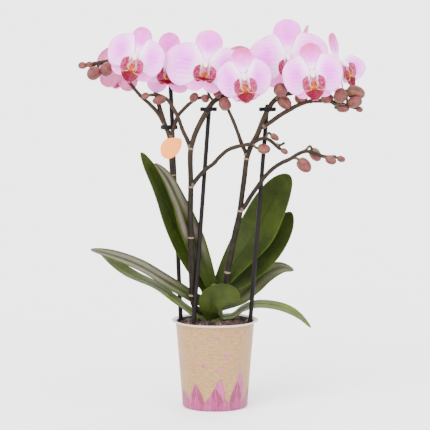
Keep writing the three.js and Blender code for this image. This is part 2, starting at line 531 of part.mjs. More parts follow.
// ---- flower spikes -------------------------------------------------------------------------------
// Stems are lists of points in order, with the radius at their start and end. A bud hangs at
// `at` on a stalk that leaves the stem at `from`. Sheaths are the pale rings at the nodes.
const SPIKES = {
  'spike-left': {
    stems: [
      { radius: [3, 2.2], divisions: 18, points: [[-5, 8, 104], [-12, 12, 121], [-19.5, 13, 149],
        [-26.7, 11, 178], [-33, 6, 203], [-38.4, 1.8, 220], [-43, 1.4, 236], [-45, 2.6, 258],
        [-47, 3, 281], [-51.6, 3.5, 293.4], [-56, 4.5, 307], [-58.5, 7, 316], [-62, 11, 328],
        [-68, 13, 340], [-78, 13.5, 350], [-90, 12, 356], [-104, 9, 358.3], [-117, 5, 357],
        [-127, 3, 355.3], [-133, 2, 354.6]] },
      { radius: [2.2, 1.7], divisions: 7, points: [[-51, 3.5, 291.5], [-58.9, 4, 305.3], [-67.8, 5, 315],
        [-75.7, 6, 321.8], [-83.6, 9, 330.6], [-89, 12, 337]] },
      { radius: [2.2, 1.7], divisions: 6, points: [[-46.8, 3, 279], [-44.6, 2, 285], [-41.7, 1.6, 292.5],
        [-38.4, 1.6, 302], [-32.3, 1.6, 309.3], [-24.4, 1, 316.6], [-18.2, 0, 320.5], [-13, -1, 321.5]] },
    ],
    buds: [
      { at: [-136.4, 1, 354.3], from: [-131, 2, 354.8], length: 8.4, radius: 3.9 },
      { at: [-129.2, 0.5, 355.4], from: [-125, 3, 355.5], length: 7, radius: 3.1 },
      { at: [-124.3, -4, 346.4], from: [-118, 5, 356.5], length: 15.5, radius: 6.6 },
      { at: [-111, -3, 350.6], from: [-107, 8.4, 357.6], length: 17, radius: 7 },
      { at: [-21.5, -2.5, 322], from: [-25, 1, 316.2], length: 11, radius: 4.2 },
      { at: [-9.8, -7.5, 321], from: [-14, -0.8, 321.3], length: 9.4, radius: 4.2 },
    ],
    blooms: [
      { index: 0, from: [-88, 11.4, 336], via: [[-92, 12, 345]] },
      { index: 1, from: [-84, 13, 353.4], via: [[-84, 4, 359]] },
      { index: 2, from: [-62, 11, 328], via: [[-56, 12, 336]] },
    ],
  },
  'spike-middle': {
    stems: [
      { radius: [3.1, 2.6], divisions: 18, points: [[-8, -6, 99.5], [-14, -8.5, 100.5],
        [-20.6, -10.2, 105.5], [-23.3, -9.8, 113], [-23.8, -10.4, 124], [-24.2, -13.2, 150],
        [-24.8, -13.5, 180], [-25.2, -12.5, 207], [-24.8, -10.5, 233], [-25.1, -9, 267],
        [-22.9, -8, 276.5], [-20.4, -7.5, 284.3], [-15.5, -5.5, 294.9], [-10.6, -4.1, 303.7],
        [-6.2, -2.6, 311.2], [-1.1, -1, 317.6], [6.2, 0, 321.6], [14.5, 1, 324.4], [24, 2, 330],
        [32, 3, 334.5]] },
      { radius: [2.2, 1.7], divisions: 7, points: [[-25, -8.5, 269], [-28, -8, 277.5], [-33.1, -7, 288.2],
        [-38.1, -6.5, 301.9], [-44, -6.5, 312.8], [-49.8, -7, 320.6], [-58, -6, 324.3], [-66, -7, 324.5]] },
      { radius: [2.3, 1.8], divisions: 10, points: [[-25, -10.6, 230], [-22.3, -11, 233.5],
        [-16.2, -10.5, 241.5], [-8.4, -10.5, 249.2], [-1.8, -11, 253.9], [4.7, -12.5, 261.2],
        [13.2, -15, 268.6], [21.7, -17, 272], [30.8, -17.6, 274], [38.5, -17.4, 275.7],
        [44.1, -17, 279], [50.5, -16, 280.8], [56.1, -15, 278.5], [62.4, -14, 273.3],
        [66.5, -13, 269.6]] },
      { radius: [1.5, 1.3], divisions: 2, points: [[61, -14.2, 274.6], [66.5, -14, 273.6],
        [71.5, -14, 276]] },
    ],
    buds: [
      { at: [-57, -8, 319.4], from: [-50.5, -7, 321], length: 14.5, radius: 5 },
      { at: [-71.4, -7, 323.7], from: [-65, -7, 324.5], length: 8, radius: 3.6 },
      { at: [2, -7.5, 325.6], from: [4.6, -0.4, 321], length: 9.6, radius: 4.2 },
      { at: [50, -20, 270.2], from: [38, -17.4, 275.6], via: [42, -19.5, 271.2], length: 13.4, radius: 5.6 },
      { at: [61, -17, 281.9], from: [52, -15.8, 280.6], via: [54.6, -16.5, 286.4], length: 10, radius: 3.5 },
      { at: [71.2, -12.6, 267], from: [65.8, -13.2, 270.2], length: 8.2, radius: 3.1 },
    ],
    blooms: [
      { index: 3, from: [-1.1, -1, 317.6], via: [[-6.5, -4, 325]] },
      { index: 4, from: [24.5, 2, 330.2], via: [[27, -12, 329], [28.5, -27, 335]] },
      { index: 9, from: [31.4, 3, 334.2], via: [] },
    ],
  },
  'spike-right': {
    stems: [
      { radius: [3.3, 2.3], divisions: 18, points: [[6, 3, 107], [9, 0, 117], [11.2, -4, 126.5],
        [12.9, -6, 141.6], [16.4, -8, 160.5], [21, -9.5, 183.2], [25.2, -11, 201.8],
        [27.5, -12.5, 220.4], [30.1, -12.5, 240], [32.7, -11.8, 260], [37.2, -11.6, 272.9],
        [42.4, -12, 282.1], [45.2, -12.4, 288.7], [49.4, -12.8, 299.7], [53.6, -13, 309],
        [56.6, -12.8, 314], [61.5, -11, 319.8], [68.9, -8, 324.5], [79.2, -4, 326.4], [89.6, -1, 329.6],
        [101.9, 1, 336.5], [114, 1.5, 343], [121, 2, 346.5]] },
      { radius: [2.2, 1.7], divisions: 5, points: [[33, -11.6, 261], [30.7, -11.4, 267.3], [27.5, -11, 274.2],
        [22.9, -10, 287.2], [18, -9.5, 299.7], [13.5, -9.5, 309.5]] },
      { radius: [2.5, 1.9], divisions: 8, points: [[47.4, -12.8, 291.6], [51.9, -14, 293.8],
        [57.9, -14, 297.9], [67, -14, 304.4], [77, -14, 310.3], [86.1, -13.6, 314.9], [95.3, -13, 318],
        [108.1, -12.6, 318.8], [121.8, -12, 317.4], [135.4, -12, 314], [144, -12, 311.4]] },
      { radius: [2.4, 1.8], divisions: 9, points: [[26, -11.4, 206], [30.1, -13.5, 210],
        [37.3, -15.5, 221.9], [43.8, -16.5, 231.3], [51.5, -16, 241.8], [59.4, -14.5, 249.5],
        [68.6, -13, 255.4], [76.5, -12, 258.8], [85.6, -11, 264.4], [93.6, -10, 266.9],
        [102.7, -10, 264.6], [111.9, -10, 261.4], [124, -10, 261.2]] },
    ],
    buds: [
      { at: [10, -11.5, 315.6], from: [13.8, -9.5, 308.8], length: 14.5, radius: 6.2 },
      { at: [66.7, -27.5, 331], from: [62, -11, 320], via: [63.5, -19, 322], length: 15, radius: 6.8 },
      { at: [71, -15, 317.4], from: [68, -8.4, 324], via: [66, -13.6, 322], length: 16.5, radius: 6.2 },
      { at: [88.3, -9, 320.6], from: [81, -3.6, 326.8], length: 14.5, radius: 6 },
      { at: [114.5, -18, 321.6], from: [106.5, -12.6, 318.8], length: 13.4, radius: 5.2 },
      { at: [127.2, -29, 325.2], from: [117, -12.2, 318], via: [124.5, -26.5, 315], length: 16, radius: 6.3 },
      { at: [130.6, -16.5, 311.4], from: [124.5, -12, 317], via: [122.8, -15.5, 311.8], length: 13.4, radius: 4.7 },
      { at: [143.8, -13, 327.2], from: [135.4, -12, 314], via: [134.4, -14, 330], length: 19.5, radius: 7.8 },
      { at: [142.6, -21, 318], from: [133.4, -12, 314.6], via: [134.5, -17, 315.5], length: 15, radius: 6.1 },
      { at: [147.8, -12, 310], from: [142, -12, 311.9], length: 7.6, radius: 3.2 },
      { at: [91.3, -15, 252.9], from: [79, -11.8, 260], via: [84.5, -13, 259.5], length: 17.2, radius: 6.5 },
      { at: [103.4, -2, 262.6], from: [92, -10, 266.8], via: [97.5, -6.5, 272], length: 16, radius: 5.8 },
      { at: [118.8, -12.5, 258], from: [110, -10, 261.9], length: 12, radius: 4.8 },
      { at: [129.6, -10, 258.9], from: [122, -10, 261.2], length: 8.8, radius: 3.6 },
    ],
    blooms: [
      { index: 5, from: [68, -8.4, 324.2], via: [[71, -5, 338]] },
      { index: 6, from: [103.5, 1, 337.6], via: [[109, -15, 329.5], [104, -33, 336]] },
      { index: 7, from: [119.5, 1.8, 345.8], via: [[121, 6, 352]] },
      { index: 8, from: [82, -3.4, 327], via: [[75, 9, 337], [72, 20, 351]] },
    ],
  },
};

/** The point on the middle lines of a spike's stems that is nearest to a given point. */
function nearestOnStems(stems, point) {
  const wanted = vec(point);
  let best = null;
  for (const { points, divisions } of stems) {
    const nodes = new THREE.CatmullRomCurve3(points.map(vec)).getSpacedPoints(divisions);
    for (let i = 0; i < divisions; i += 1) {
      const near = new THREE.Vector3();
      new THREE.Line3(nodes[i], nodes[i + 1]).closestPointToPoint(wanted, true, near);
      if (!best || near.distanceTo(wanted) < best.distanceTo(wanted)) best = near;
    }
  }
  return best;
}

/** A bud on its stalk: a thin stem that swells into an egg with a blunt tip. */
function budGeometry(stems, { at, from, via, length, radius }) {
  const start = nearestOnStems(stems, from);
  const last = via ? vec(via) : start;
  const heading = vec(at).sub(last).normalize();
  const base = vec(at).addScaledVector(heading, -length / 2);
  const tip = vec(at).addScaledVector(heading, length / 2);
  const points = via ? [start, last, base, vec(at), tip] : [start, base, vec(at), tip];
  const whole = new THREE.CatmullRomCurve3(points).getLength();
  const share = (part) => 1 - ((1 - part) * length) / whole;
  const swelling = [[0, 0.4], [0.15, 0.8], [0.45, 1], [0.75, 0.85], [1, 0.3]];
  const stalk = via ? [[0, 1.25], [share(0) / 2, 1.25]] : [[0, 1.25]];
  const stations = [...stalk, [Math.max(0.05, share(-0.06)), 1.25]];
  for (const [part, size] of swelling) stations.push([share(part), size * radius]);
  return stem(points, stations, 5);
}

/** The stalk of a bloom: from the spike to just behind the bloom's hub, square to its back. */
function bloomStalk(stems, { index, from, via }) {
  const frame = bloomMatrix(BLOOMS[index]);
  const behindHub = HUB_RADIUS * 0.8 + GAP;
  const end = new THREE.Vector3(0, 0, -behindHub).applyMatrix4(frame);
  const before = new THREE.Vector3(0, -0.6, -behindHub - 5).applyMatrix4(frame);
  return stem([nearestOnStems(stems, from), ...via.map(vec), before, end], taper(1.4, 1.5, 4), 5);
}

/** Main stems have six sides, side branches five. */
function stemSides(radius) {
  return radius[0] > 2 ? 6 : 5;
}

function spikeGeometry({ stems, buds, blooms }) {
  const pieces = stems.map(({ points, radius, divisions }) => {
    return stem(points.map(vec), taper(...radius, divisions), stemSides(radius));
  });
  for (const bud of buds) pieces.push(budGeometry(stems, bud));
  for (const bloom of blooms) pieces.push(bloomStalk(stems, bloom));
  return fuse(pieces);
}

/** The stems of a spike, grown by the gap all round, to cut their room out of what holds them. */
function spikeRooms(name) {
  return SPIKES[name].stems.map(({ points, radius, divisions }) => {
    const [start, next] = points.map(vec);
    const past = start.clone().sub(next).normalize().multiplyScalar(GAP).add(start);
    const grown = taper(radius[0] + GAP, radius[1] + GAP, divisions);
    return stem([past, ...points.map(vec)], grown, stemSides(radius));
  });
}

/** Middle of a spike's main stem at a height, walking up its points. */
function spikeAt(name, z) {
  const { points } = SPIKES[name].stems[0];
  const upper = points.findIndex((p) => p[2] > z);
  const [a, b] = [points[upper - 1], points[upper]];
  return vec(a).lerp(vec(b), (z - a[2]) / (b[2] - a[2]));
}

// ---- clips and tag ---------------------------------------------------------------------------------
/** The outline of a band round two round things, as a closed shape seen from above. */
function bandOutline(first, second, radius) {
  const heading = Math.atan2(second.y - first.y, second.x - first.x);
  const outline = new THREE.Shape();
  outline.absarc(second.x, second.y, radius, heading - Math.PI / 2, heading + Math.PI / 2, false);
  outline.absarc(first.x, first.y, radius, heading + Math.PI / 2, heading + (3 * Math.PI) / 2, false);
  outline.closePath();
  return outline;
}

/** A clip: a band round stake and spike, with a wing to each side to squeeze it open. */
function clipGeometry(stake, spike, z) {
  const first = stakeAt(STAKES[stake], z);
  const second = spikeAt(spike, z);
  const band = bandOutline(first, second, CLIP.grip + CLIP.wall);
  const rise = { depth: CLIP.height, bevelEnabled: false, curveSegments: 3 };
  const bandSolid = new THREE.ExtrudeGeometry(band, rise);
  bandSolid.translate(0, 0, z - CLIP.height / 2);
  const middle = first.clone().add(second).multiplyScalar(0.5);
  const bar = new THREE.BoxGeometry(2 * CLIP.wing, CLIP.wingThickness, CLIP.height * 0.68);
  bar.translate(middle.x, middle.y, z);
  const pieces = [bandSolid, bar];
  for (const side of [-1, 1]) {
    const knob = new THREE.BoxGeometry(CLIP.knob, CLIP.wingThickness + 1, CLIP.height);
    pieces.push(knob.translate(middle.x + side * (CLIP.wing - CLIP.knob / 2), middle.y, z));
  }
  return carve(fuse(pieces), [stakeRoom(STAKES[stake]), ...spikeRooms(spike)]);
}

/** The egg-shaped card, with a split collar behind it that grips the spike's stem. */
function tagGeometry() {
  const z = 269.2;
  const grip = spikeAt('spike-left', z);
  const half = TAG.size / 2;
  const outline = new THREE.Shape();
  outline.moveTo(half, 0.62 * half);
  outline.bezierCurveTo(half, -0.2 * half, 0.35 * half, -half, -0.25 * half, -half);
  outline.bezierCurveTo(-0.7 * half, -half, -half, -0.62 * half, -half, -0.1 * half);
  outline.bezierCurveTo(-half, 0.55 * half, -0.5 * half, half, 0.1 * half, half);
  outline.bezierCurveTo(0.55 * half, half, half, half, half, 0.62 * half);
  const sheet = { depth: TAG.thickness, bevelEnabled: false, curveSegments: 4 };
  const card = new THREE.ExtrudeGeometry(outline, sheet);
  card.rotateX(Math.PI / 2);
  const cardBack = grip.y - TAG.grip - GAP;
  card.translate(grip.x + 0.8, cardBack, z);
  const collarRadius = TAG.grip + TAG.collar;
  const collar = new THREE.CylinderGeometry(collarRadius, collarRadius, TAG.collarHeight, 10);
  collar.rotateX(Math.PI / 2).translate(grip.x, grip.y, z);
  return carve(fuse([card, collar]), [stakeRoom(STAKES.left), ...spikeRooms('spike-left')]);
}

// ---- the whole plant ---------------------------------------------------------------------------------
addPart('pot', potGeometry(), 'pot');

const crownRoom = crownGeometry(GAP);
const stemRooms = Object.keys(SPIKES).map((name) => spikeRooms(name)[0]);
addPart('crown', carve(crownGeometry(), stemRooms), 'crown');

const keepClear = [];
for (const { midrib, half } of Object.values(LEAVES)) {
  const curve = new THREE.CatmullRomCurve3(midrib.map(vec));
  for (let t = 0; t < 0.4; t += 0.05) keepClear.push([curve.getPointAt(t), 0.8 * half + 1]);
}
for (const stake of Object.values(STAKES)) keepClear.push([stakeAt(stake, BARK.level), STAKE_RADIUS + 1]);
const stakeRooms = Object.values(STAKES).map(stakeRoom);
addPart('potting-bark', carve(barkGeometry(keepClear), [crownRoom, ...stakeRooms]), 'bark');

for (const [name, stake] of Object.entries(STAKES)) addPart(`stake-${name}`, stakeGeometry(stake), 'stake');

for (const [name, leaf] of Object.entries(LEAVES)) {
  addPart(name, carve(leafGeometry(leaf), [crownRoom, ...stemRooms]), 'leaf');
}

for (const [name, spike] of Object.entries(SPIKES)) addPart(name, spikeGeometry(spike), 'spike');

BLOOMS.forEach((bloom, index) => {
  const place = new THREE.Group();
  bloomMatrix(bloom).decompose(place.position, place.quaternion, place.scale);
  const number = String(index + 1).padStart(2, '0');
  addPart(`bloom-${number}`, bloomGeometry(bloom), 'petal', place);
  addPart(`lip-${number}`, lipGeometry(bloom), 'lip', place);
  root.add(place);
});

addPart('clip-left', clipGeometry('left', 'spike-left', 290.5), 'clip');
addPart('clip-middle', clipGeometry('middle', 'spike-middle', 309.5), 'clip');
addPart('clip-right', clipGeometry('right', 'spike-right', 310), 'clip');
addPart('tag', tagGeometry(), 'tag');

export default root;
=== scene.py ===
"""Dresses the potted moth orchid: every leaf, stem, bud, bloom and lip, the bark, the printed pot,
the stakes, the clips and the card as finished surfaces, in the same frame as its solids.

Sizes in this script are millimetres until a mesh is made. +Z is up, the front is towards -Y and
+X is to the viewer's right.
"""

import math

import bpy
import numpy as np
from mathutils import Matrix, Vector


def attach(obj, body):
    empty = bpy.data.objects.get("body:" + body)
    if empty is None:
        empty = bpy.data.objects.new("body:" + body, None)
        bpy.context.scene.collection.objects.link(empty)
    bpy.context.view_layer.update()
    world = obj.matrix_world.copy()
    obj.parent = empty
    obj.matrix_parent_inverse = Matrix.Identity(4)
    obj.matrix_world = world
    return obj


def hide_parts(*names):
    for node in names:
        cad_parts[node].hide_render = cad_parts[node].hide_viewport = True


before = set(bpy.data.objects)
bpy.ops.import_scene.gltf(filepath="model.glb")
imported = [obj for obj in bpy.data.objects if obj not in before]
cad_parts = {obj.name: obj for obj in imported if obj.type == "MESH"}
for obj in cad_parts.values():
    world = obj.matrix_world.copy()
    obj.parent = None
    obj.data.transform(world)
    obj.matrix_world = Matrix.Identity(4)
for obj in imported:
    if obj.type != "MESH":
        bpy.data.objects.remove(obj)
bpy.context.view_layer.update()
MM = 0.001


# ---- shapes ----------------------------------------------------------------------------------

def unit(vectors):
    """Each vector divided by its length."""
    return vectors / np.maximum(np.linalg.norm(vectors, axis=-1, keepdims=True), 1e-12)


def blend(a, b, t):
    """A straight mix: a where t is 0, b where t is 1."""
    return a + (b - a) * t


def lengthwise(t, columns):
    """place of each point of a piece's rings: how far along it is, then 0 and 0."""
    along = np.broadcast_to(t[:, None], (len(t), columns))
    return np.stack([along, 0 * along, 0 * along], axis=-1)


def smooth_step(low, high, x):
    """0 below low, 1 above high, and 3s^2 - 2s^3 between."""
    s = np.clip((x - low) / (high - low), 0, 1)
    return s * s * (3 - 2 * s)


def bump(x, centre, width):
    """A bell of height 1: exp(-((x - centre) / width)^2)."""
    return np.exp(-(((x - centre) / width) ** 2))


class Path:
    """A smooth curve through points, walked by its length from 0 to 1.

    Between two points it is the cubic whose end slopes come from its neighbours, each span
    weighed by the square root of its length (a centripetal Catmull-Rom curve).
    """

    def __init__(self, points, per_span=20):
        p = np.array(points, float)
        p = np.vstack([2 * p[0] - p[1], p, 2 * p[-1] - p[-2]])
        span = np.maximum(np.linalg.norm(np.diff(p, axis=0), axis=1), 1e-6) ** 0.5
        before, here, after = (span[i:len(span) - 2 + i, None] for i in range(3))
        p0, p1, p2, p3 = (p[i:len(p) - 3 + i] for i in range(4))
        slope_a = ((p1 - p0) / before - (p2 - p0) / (before + here) + (p2 - p1) / here) * here
        slope_b = ((p2 - p1) / here - (p3 - p1) / (here + after) + (p3 - p2) / after) * here
        s = np.linspace(0, 1, per_span, endpoint=False)[None, :, None]
        square = -3 * p1 + 3 * p2 - 2 * slope_a - slope_b
        cube = 2 * p1 - 2 * p2 + slope_a + slope_b
        steps = (p1[:, None] + slope_a[:, None] * s + square[:, None] * s**2 + cube[:, None] * s**3)
        self.samples = np.vstack([steps.reshape(-1, 3), p2[-1:]])
        walked = np.concatenate([[0], np.cumsum(np.linalg.norm(np.diff(self.samples, axis=0), axis=1))])
        self.length = walked[-1]
        self.share = walked / self.length

    def at(self, t):
        """Places at the given shares of the length."""
        return np.stack([np.interp(t, self.share, self.samples[:, k]) for k in range(3)], axis=-1)

    def heading(self, t):
        """Unit directions of travel: a chord of 1.2% of the length round each place."""
        return unit(self.at(np.clip(t + 0.006, 0, 1)) - self.at(np.clip(t - 0.006, 0, 1)))

    def nearest(self, point):
        """The place on the curve nearest to a point, and its share of the length."""
        best = np.argmin(np.linalg.norm(self.samples - np.array(point, float), axis=1))
        return self.samples[best], self.share[best]


def carried_frames(headings):
    """Two unit vectors square to each heading, turned as little as possible from one to the next."""
    start = np.array([headings[0][2], headings[0][0], headings[0][1]])
    sides = []
    for heading in headings:
        start = unit(start - heading * np.dot(start, heading))
        sides.append(start)
    sides = np.array(sides)
    return sides, np.cross(headings, sides)


def tube(path, t, radius, sides):
    """Rings of a round stem: centre + radius (side cos a + other sin a), a round each ring.

    The radius is one number for each place, or one for each place and angle.
    """
    side, other = carried_frames(path.heading(t))
    angle = np.linspace(0, 2 * np.pi, sides, endpoint=False)
    reach = np.broadcast_to(np.asarray(radius, float).reshape(len(t), -1), (len(t), sides))
    out = side[:, None] * np.cos(angle)[None, :, None] + other[:, None] * np.sin(angle)[None, :, None]
    return path.at(t)[:, None] + out * reach[..., None]


def lathe(profile, segments):
    """Rings of a turned form: (r cos a, r sin a, z) for each point (r, z) of the profile."""
    angle = np.linspace(0, 2 * np.pi, segments, endpoint=False)
    r, z = np.array(profile, float).T
    height = np.broadcast_to(z[:, None], (len(z), segments))
    return np.stack([r[:, None] * np.cos(angle), r[:, None] * np.sin(angle), height], axis=-1)


def two_faced(middle, u, v, thickness):
    """Rings of a blade from its middle surface: across its front, then back across its rear.

    Each face lies half the thickness off the middle surface along its normal. The result is the
    rings and, for each of their points, its u, v and 0 on the front or 1 on the rear.
    """
    uu, vv = np.meshgrid(u, v, indexing="ij")
    points = middle(uu, vv)
    normal = unit(np.cross(np.gradient(points, axis=0), np.gradient(points, axis=1)))
    offset = normal * (np.broadcast_to(thickness(uu, vv), uu.shape) / 2)[..., None]
    rings = np.concatenate([points + offset, (points - offset)[:, ::-1]], axis=1)
    front = np.stack([uu, vv, np.zeros_like(uu)], axis=-1)
    rear = np.stack([uu, vv, np.ones_like(uu)], axis=-1)[:, ::-1]
    return rings, np.concatenate([front, rear], axis=1)


def spread(count, ends=1.0):
    """Numbers from 0 to 1, crowded towards 1: 1 - (1 - s)^(1 + ends)."""
    return 1 - (1 - np.linspace(0, 1, count)) ** (1 + ends)


def ball_angles(rows, columns, top=1.54):
    """Turn and rise of each point over a ball, from near its -Z pole to near its +Z pole."""
    return np.meshgrid(np.linspace(0, 2 * np.pi, columns, endpoint=False), np.linspace(-top, top, rows))


def ball_directions(turn, rise):
    """Directions over a ball: (cos rise cos turn, cos rise sin turn, sin rise)."""
    return np.stack([np.cos(rise) * np.cos(turn), np.cos(rise) * np.sin(turn), np.sin(rise)], axis=-1)


def rounded_block(centre, half, power=7.0, ball=None):
    """A block with rounded edges: |x/a|^p + |y/b|^p + |z/c|^p = 1 round its centre."""
    if ball is None:
        ball = ball_directions(*ball_angles(13, 24))
    skin = ball / (np.abs(ball) ** power).sum(axis=-1, keepdims=True) ** (1 / power)
    return skin * np.array(half) + np.array(centre)


class Body:
    """Rows of closed rings gathered into one mesh. Each row of rings is capped at both ends."""

    def __init__(self):
        self.points, self.quads, self.triangles, self.place, self.tint = [], [], [], [], []
        self.total = 0

    def add(self, rings, place=None, tint=0.0, closed=False):
        """Adds a skin over the rings, facing outwards. place and tint go to its points.

        Where it is closed, the last ring joins the first, and there are no caps.
        """
        if closed:
            rings = np.concatenate([rings, rings[:1]])
        rows, columns = rings.shape[:2]
        index = self.total + np.arange(rows * columns).reshape(rows, columns)
        beside = np.roll(index, -1, axis=1)
        first, last = self.total + rows * columns, self.total + rows * columns + 1
        quads = np.stack([index[:-1], beside[:-1], beside[1:], index[1:]], axis=-1).reshape(-1, 4)
        foot = np.stack([beside[0], index[0], np.full(columns, first)], axis=-1)
        head = np.stack([index[-1], beside[-1], np.full(columns, last)], axis=-1)
        points = np.vstack([rings.reshape(-1, 3), rings[0].mean(axis=0), rings[-1].mean(axis=0)])
        local = quads - self.total
        centred = points - points.mean(axis=0)
        a, b, c, d = (centred[local[:, k]] for k in range(4))
        volume = (np.cross(a, b) * c).sum() + (np.cross(a, c) * d).sum()
        triangles = np.vstack([foot, head])
        if volume < 0:
            quads, triangles = quads[:, ::-1], triangles[:, ::-1]
        if place is None:
            place = np.zeros((rows, columns, 3))
        place = np.broadcast_to(place, (rows, columns, 3))
        ends = np.vstack([place[0].mean(axis=0), place[-1].mean(axis=0)])
        self.points.append(points)
        self.quads.append(quads)
        self.triangles.append(triangles)
        self.place.append(np.vstack([place.reshape(-1, 3), ends]))
        tints = np.broadcast_to(tint, (rows, columns)).reshape(-1)
        self.tint.append(np.concatenate([tints, [tints[0], tints[-1]]]))
        self.total += len(points)

    def piece(self, name, finish, sharp=None):
        """Makes the mesh object, in metres. Edges sharper than `sharp` degrees stay crisp."""
        quads, triangles = np.vstack(self.quads), np.vstack(self.triangles)
        mesh = bpy.data.meshes.new(name)
        mesh.vertices.add(self.total)
        mesh.vertices.foreach_set("co", (np.vstack(self.points) * MM).ravel())
        mesh.loops.add(quads.size + triangles.size)
        mesh.loops.foreach_set("vertex_index", np.concatenate([quads.ravel(), triangles.ravel()]))
        starts = np.concatenate([np.arange(len(quads)) * 4, quads.size + np.arange(len(triangles)) * 3])
        mesh.polygons.add(len(starts))
        mesh.polygons.foreach_set("loop_start", starts)
        mesh.polygons.foreach_set("use_smooth", np.ones(len(starts), bool))
        mesh.update(calc_edges=True)
        place = mesh.attributes.new("place", "FLOAT_VECTOR", "POINT")
        place.data.foreach_set("vector", np.vstack(self.place).ravel())
        tint = mesh.attributes.new("tint", "FLOAT", "POINT")
        tint.data.foreach_set("value", np.concatenate(self.tint))
        if sharp:
            mesh.set_sharp_from_angle(angle=math.radians(sharp))
        mesh.validate()
        mesh.materials.append(finish)
        thing = bpy.data.objects.new(name, mesh)
        bpy.context.scene.collection.objects.link(thing)
        return thing


def dress(thing, slot, *nodes):
    """Lets a piece ride on the pot and stand for its solids; its slot is not used."""
    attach(thing, "root")
    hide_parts(*nodes)


# ---- finishes --------------------------------------------------------------------------------

class Wire:
    """A socket's value in shader maths. An operator adds the Math node that works it out."""

    def __init__(self, finish, socket):
        self.finish, self.socket = finish, socket

    def __add__(self, other):
        return self.finish.math("ADD", self, other)

    def __sub__(self, other):
        return self.finish.math("SUBTRACT", self, other)

    def __rsub__(self, other):
        return self.finish.math("SUBTRACT", other, self)

    def __mul__(self, other):
        return self.finish.math("MULTIPLY", self, other)

    def __truediv__(self, other):
        return self.finish.math("DIVIDE", self, other)

    def __pow__(self, other):
        return self.finish.math("POWER", self, other)

    __radd__ = __add__
    __rmul__ = __mul__

    def size(self):
        return self.finish.math("ABSOLUTE", self)

    def wave(self):
        return self.finish.math("SINE", self)

    def part(self):
        return self.finish.math("FRACT", self)

    def between(self, low, high):
        """0 at low and 1 at high, eased at both ends, and held outside them."""
        settings = {"interpolation_type": "SMOOTHSTEP"}
        return self.finish.node("ShaderNodeMapRange", settings, {0: self, 1: low, 2: high})

    def near(self, centre, width):
        """1 at the centre, falling to 0 a width away on both sides."""
        return 1 - (self - centre).size().between(0, width)


class Finish:
    """A procedural material: one Principled shader and the nodes that feed it."""

    def __init__(self, name, **even):
        """Each of `even` is the same all over the surface, and is set on the shader's own socket."""
        self.material = bpy.data.materials.new(name)
        self.material.use_nodes = True
        self.nodes = self.material.node_tree.nodes
        self.links = self.material.node_tree.links
        self.shader = self.nodes["Principled BSDF"]
        for socket, value in even.items():
            self.shader.inputs[socket.replace("_", " ")].default_value = value

    def node(self, kind, settings, inputs, output=0):
        """Adds a node, sets it up, then fills its sockets with values or links."""
        made = self.nodes.new(kind)
        for name, value in settings.items():
            setattr(made, name, value)
        for socket, value in inputs.items():
            if isinstance(value, Wire):
                self.links.new(value.socket, made.inputs[socket])
            else:
                made.inputs[socket].default_value = value
        return Wire(self, made.outputs[output])

    def math(self, operation, *values):
        return self.node("ShaderNodeMath", {"operation": operation}, dict(enumerate(values)))

    def place(self):
        """Along, across and face of each point, as the piece's own attribute holds them."""
        vector = self.node("ShaderNodeAttribute", {"attribute_name": "place"}, {}, "Vector")
        split = self.nodes.new("ShaderNodeSeparateXYZ")
        self.links.new(vector.socket, split.inputs[0])
        return [Wire(self, output) for output in split.outputs]

    def tint(self):
        return self.node("ShaderNodeAttribute", {"attribute_name": "tint"}, {}, "Fac")

    def spot(self):
        """Object coordinates, in metres, and their three parts."""
        vector = self.node("ShaderNodeTexCoord", {}, {}, "Object")
        split = self.nodes.new("ShaderNodeSeparateXYZ")
        self.links.new(vector.socket, split.inputs[0])
        return vector, [Wire(self, output) for output in split.outputs]

    def vector(self, x, y, z):
        return self.node("ShaderNodeCombineXYZ", {}, {0: x, 1: y, 2: z})

    def noise(self, where, scale, detail=2.0, roughness=0.5):
        inputs = {"Vector": where, "Scale": scale, "Detail": detail, "Roughness": roughness}
        return self.node("ShaderNodeTexNoise", {}, inputs, "Fac")

    def cells(self, where, scale):
        """How far each point lies from the nearest of many scattered points, a cell's middle."""
        return self.node("ShaderNodeTexVoronoi", {}, {"Vector": where, "Scale": scale}, "Distance")

    def mix(self, first, second, factor):
        """A mix of two colours by a factor."""
        inputs = {"Factor": factor, 6: colour(first), 7: colour(second)}
        return self.node("ShaderNodeMix", {"data_type": "RGBA"}, inputs, 2)

    def paint(self, base, layers):
        """Lays colours over a base in turn. Each layer is a colour and how much of it shows."""
        for tone, factor in layers:
            base = self.mix(base, tone, factor)
        return base

    def build(self, base, roughness=None, height=None, depth=0.0004):
        """Feeds the shader. Height is a bump of the given depth in metres."""
        self.links.new(base.socket, self.shader.inputs["Base Color"])
        if roughness:
            self.links.new(roughness.socket, self.shader.inputs["Roughness"])
        if height:
            inputs = {"Height": height, "Distance": depth, "Strength": 1.0}
            normal = self.node("ShaderNodeBump", {}, inputs, "Normal")
            self.links.new(normal.socket, self.shader.inputs["Normal"])
        return self.material


def colour(value):
    """A colour written as '#rrggbb' becomes linear RGBA. A link is passed on."""
    if not isinstance(value, str):
        return value
    bits = [int(value[i:i + 2], 16) / 255 for i in (1, 3, 5)]
    return (*[b / 12.92 if b <= 0.04045 else ((b + 0.055) / 1.055) ** 2.4 for b in bits], 1.0)


def soft(weight, reach, *spread_by_colour):
    """Light that goes into a surface: its share, its reach in metres and how far each colour goes."""
    return dict(Subsurface_Weight=weight, Subsurface_Scale=reach, Subsurface_Radius=spread_by_colour)


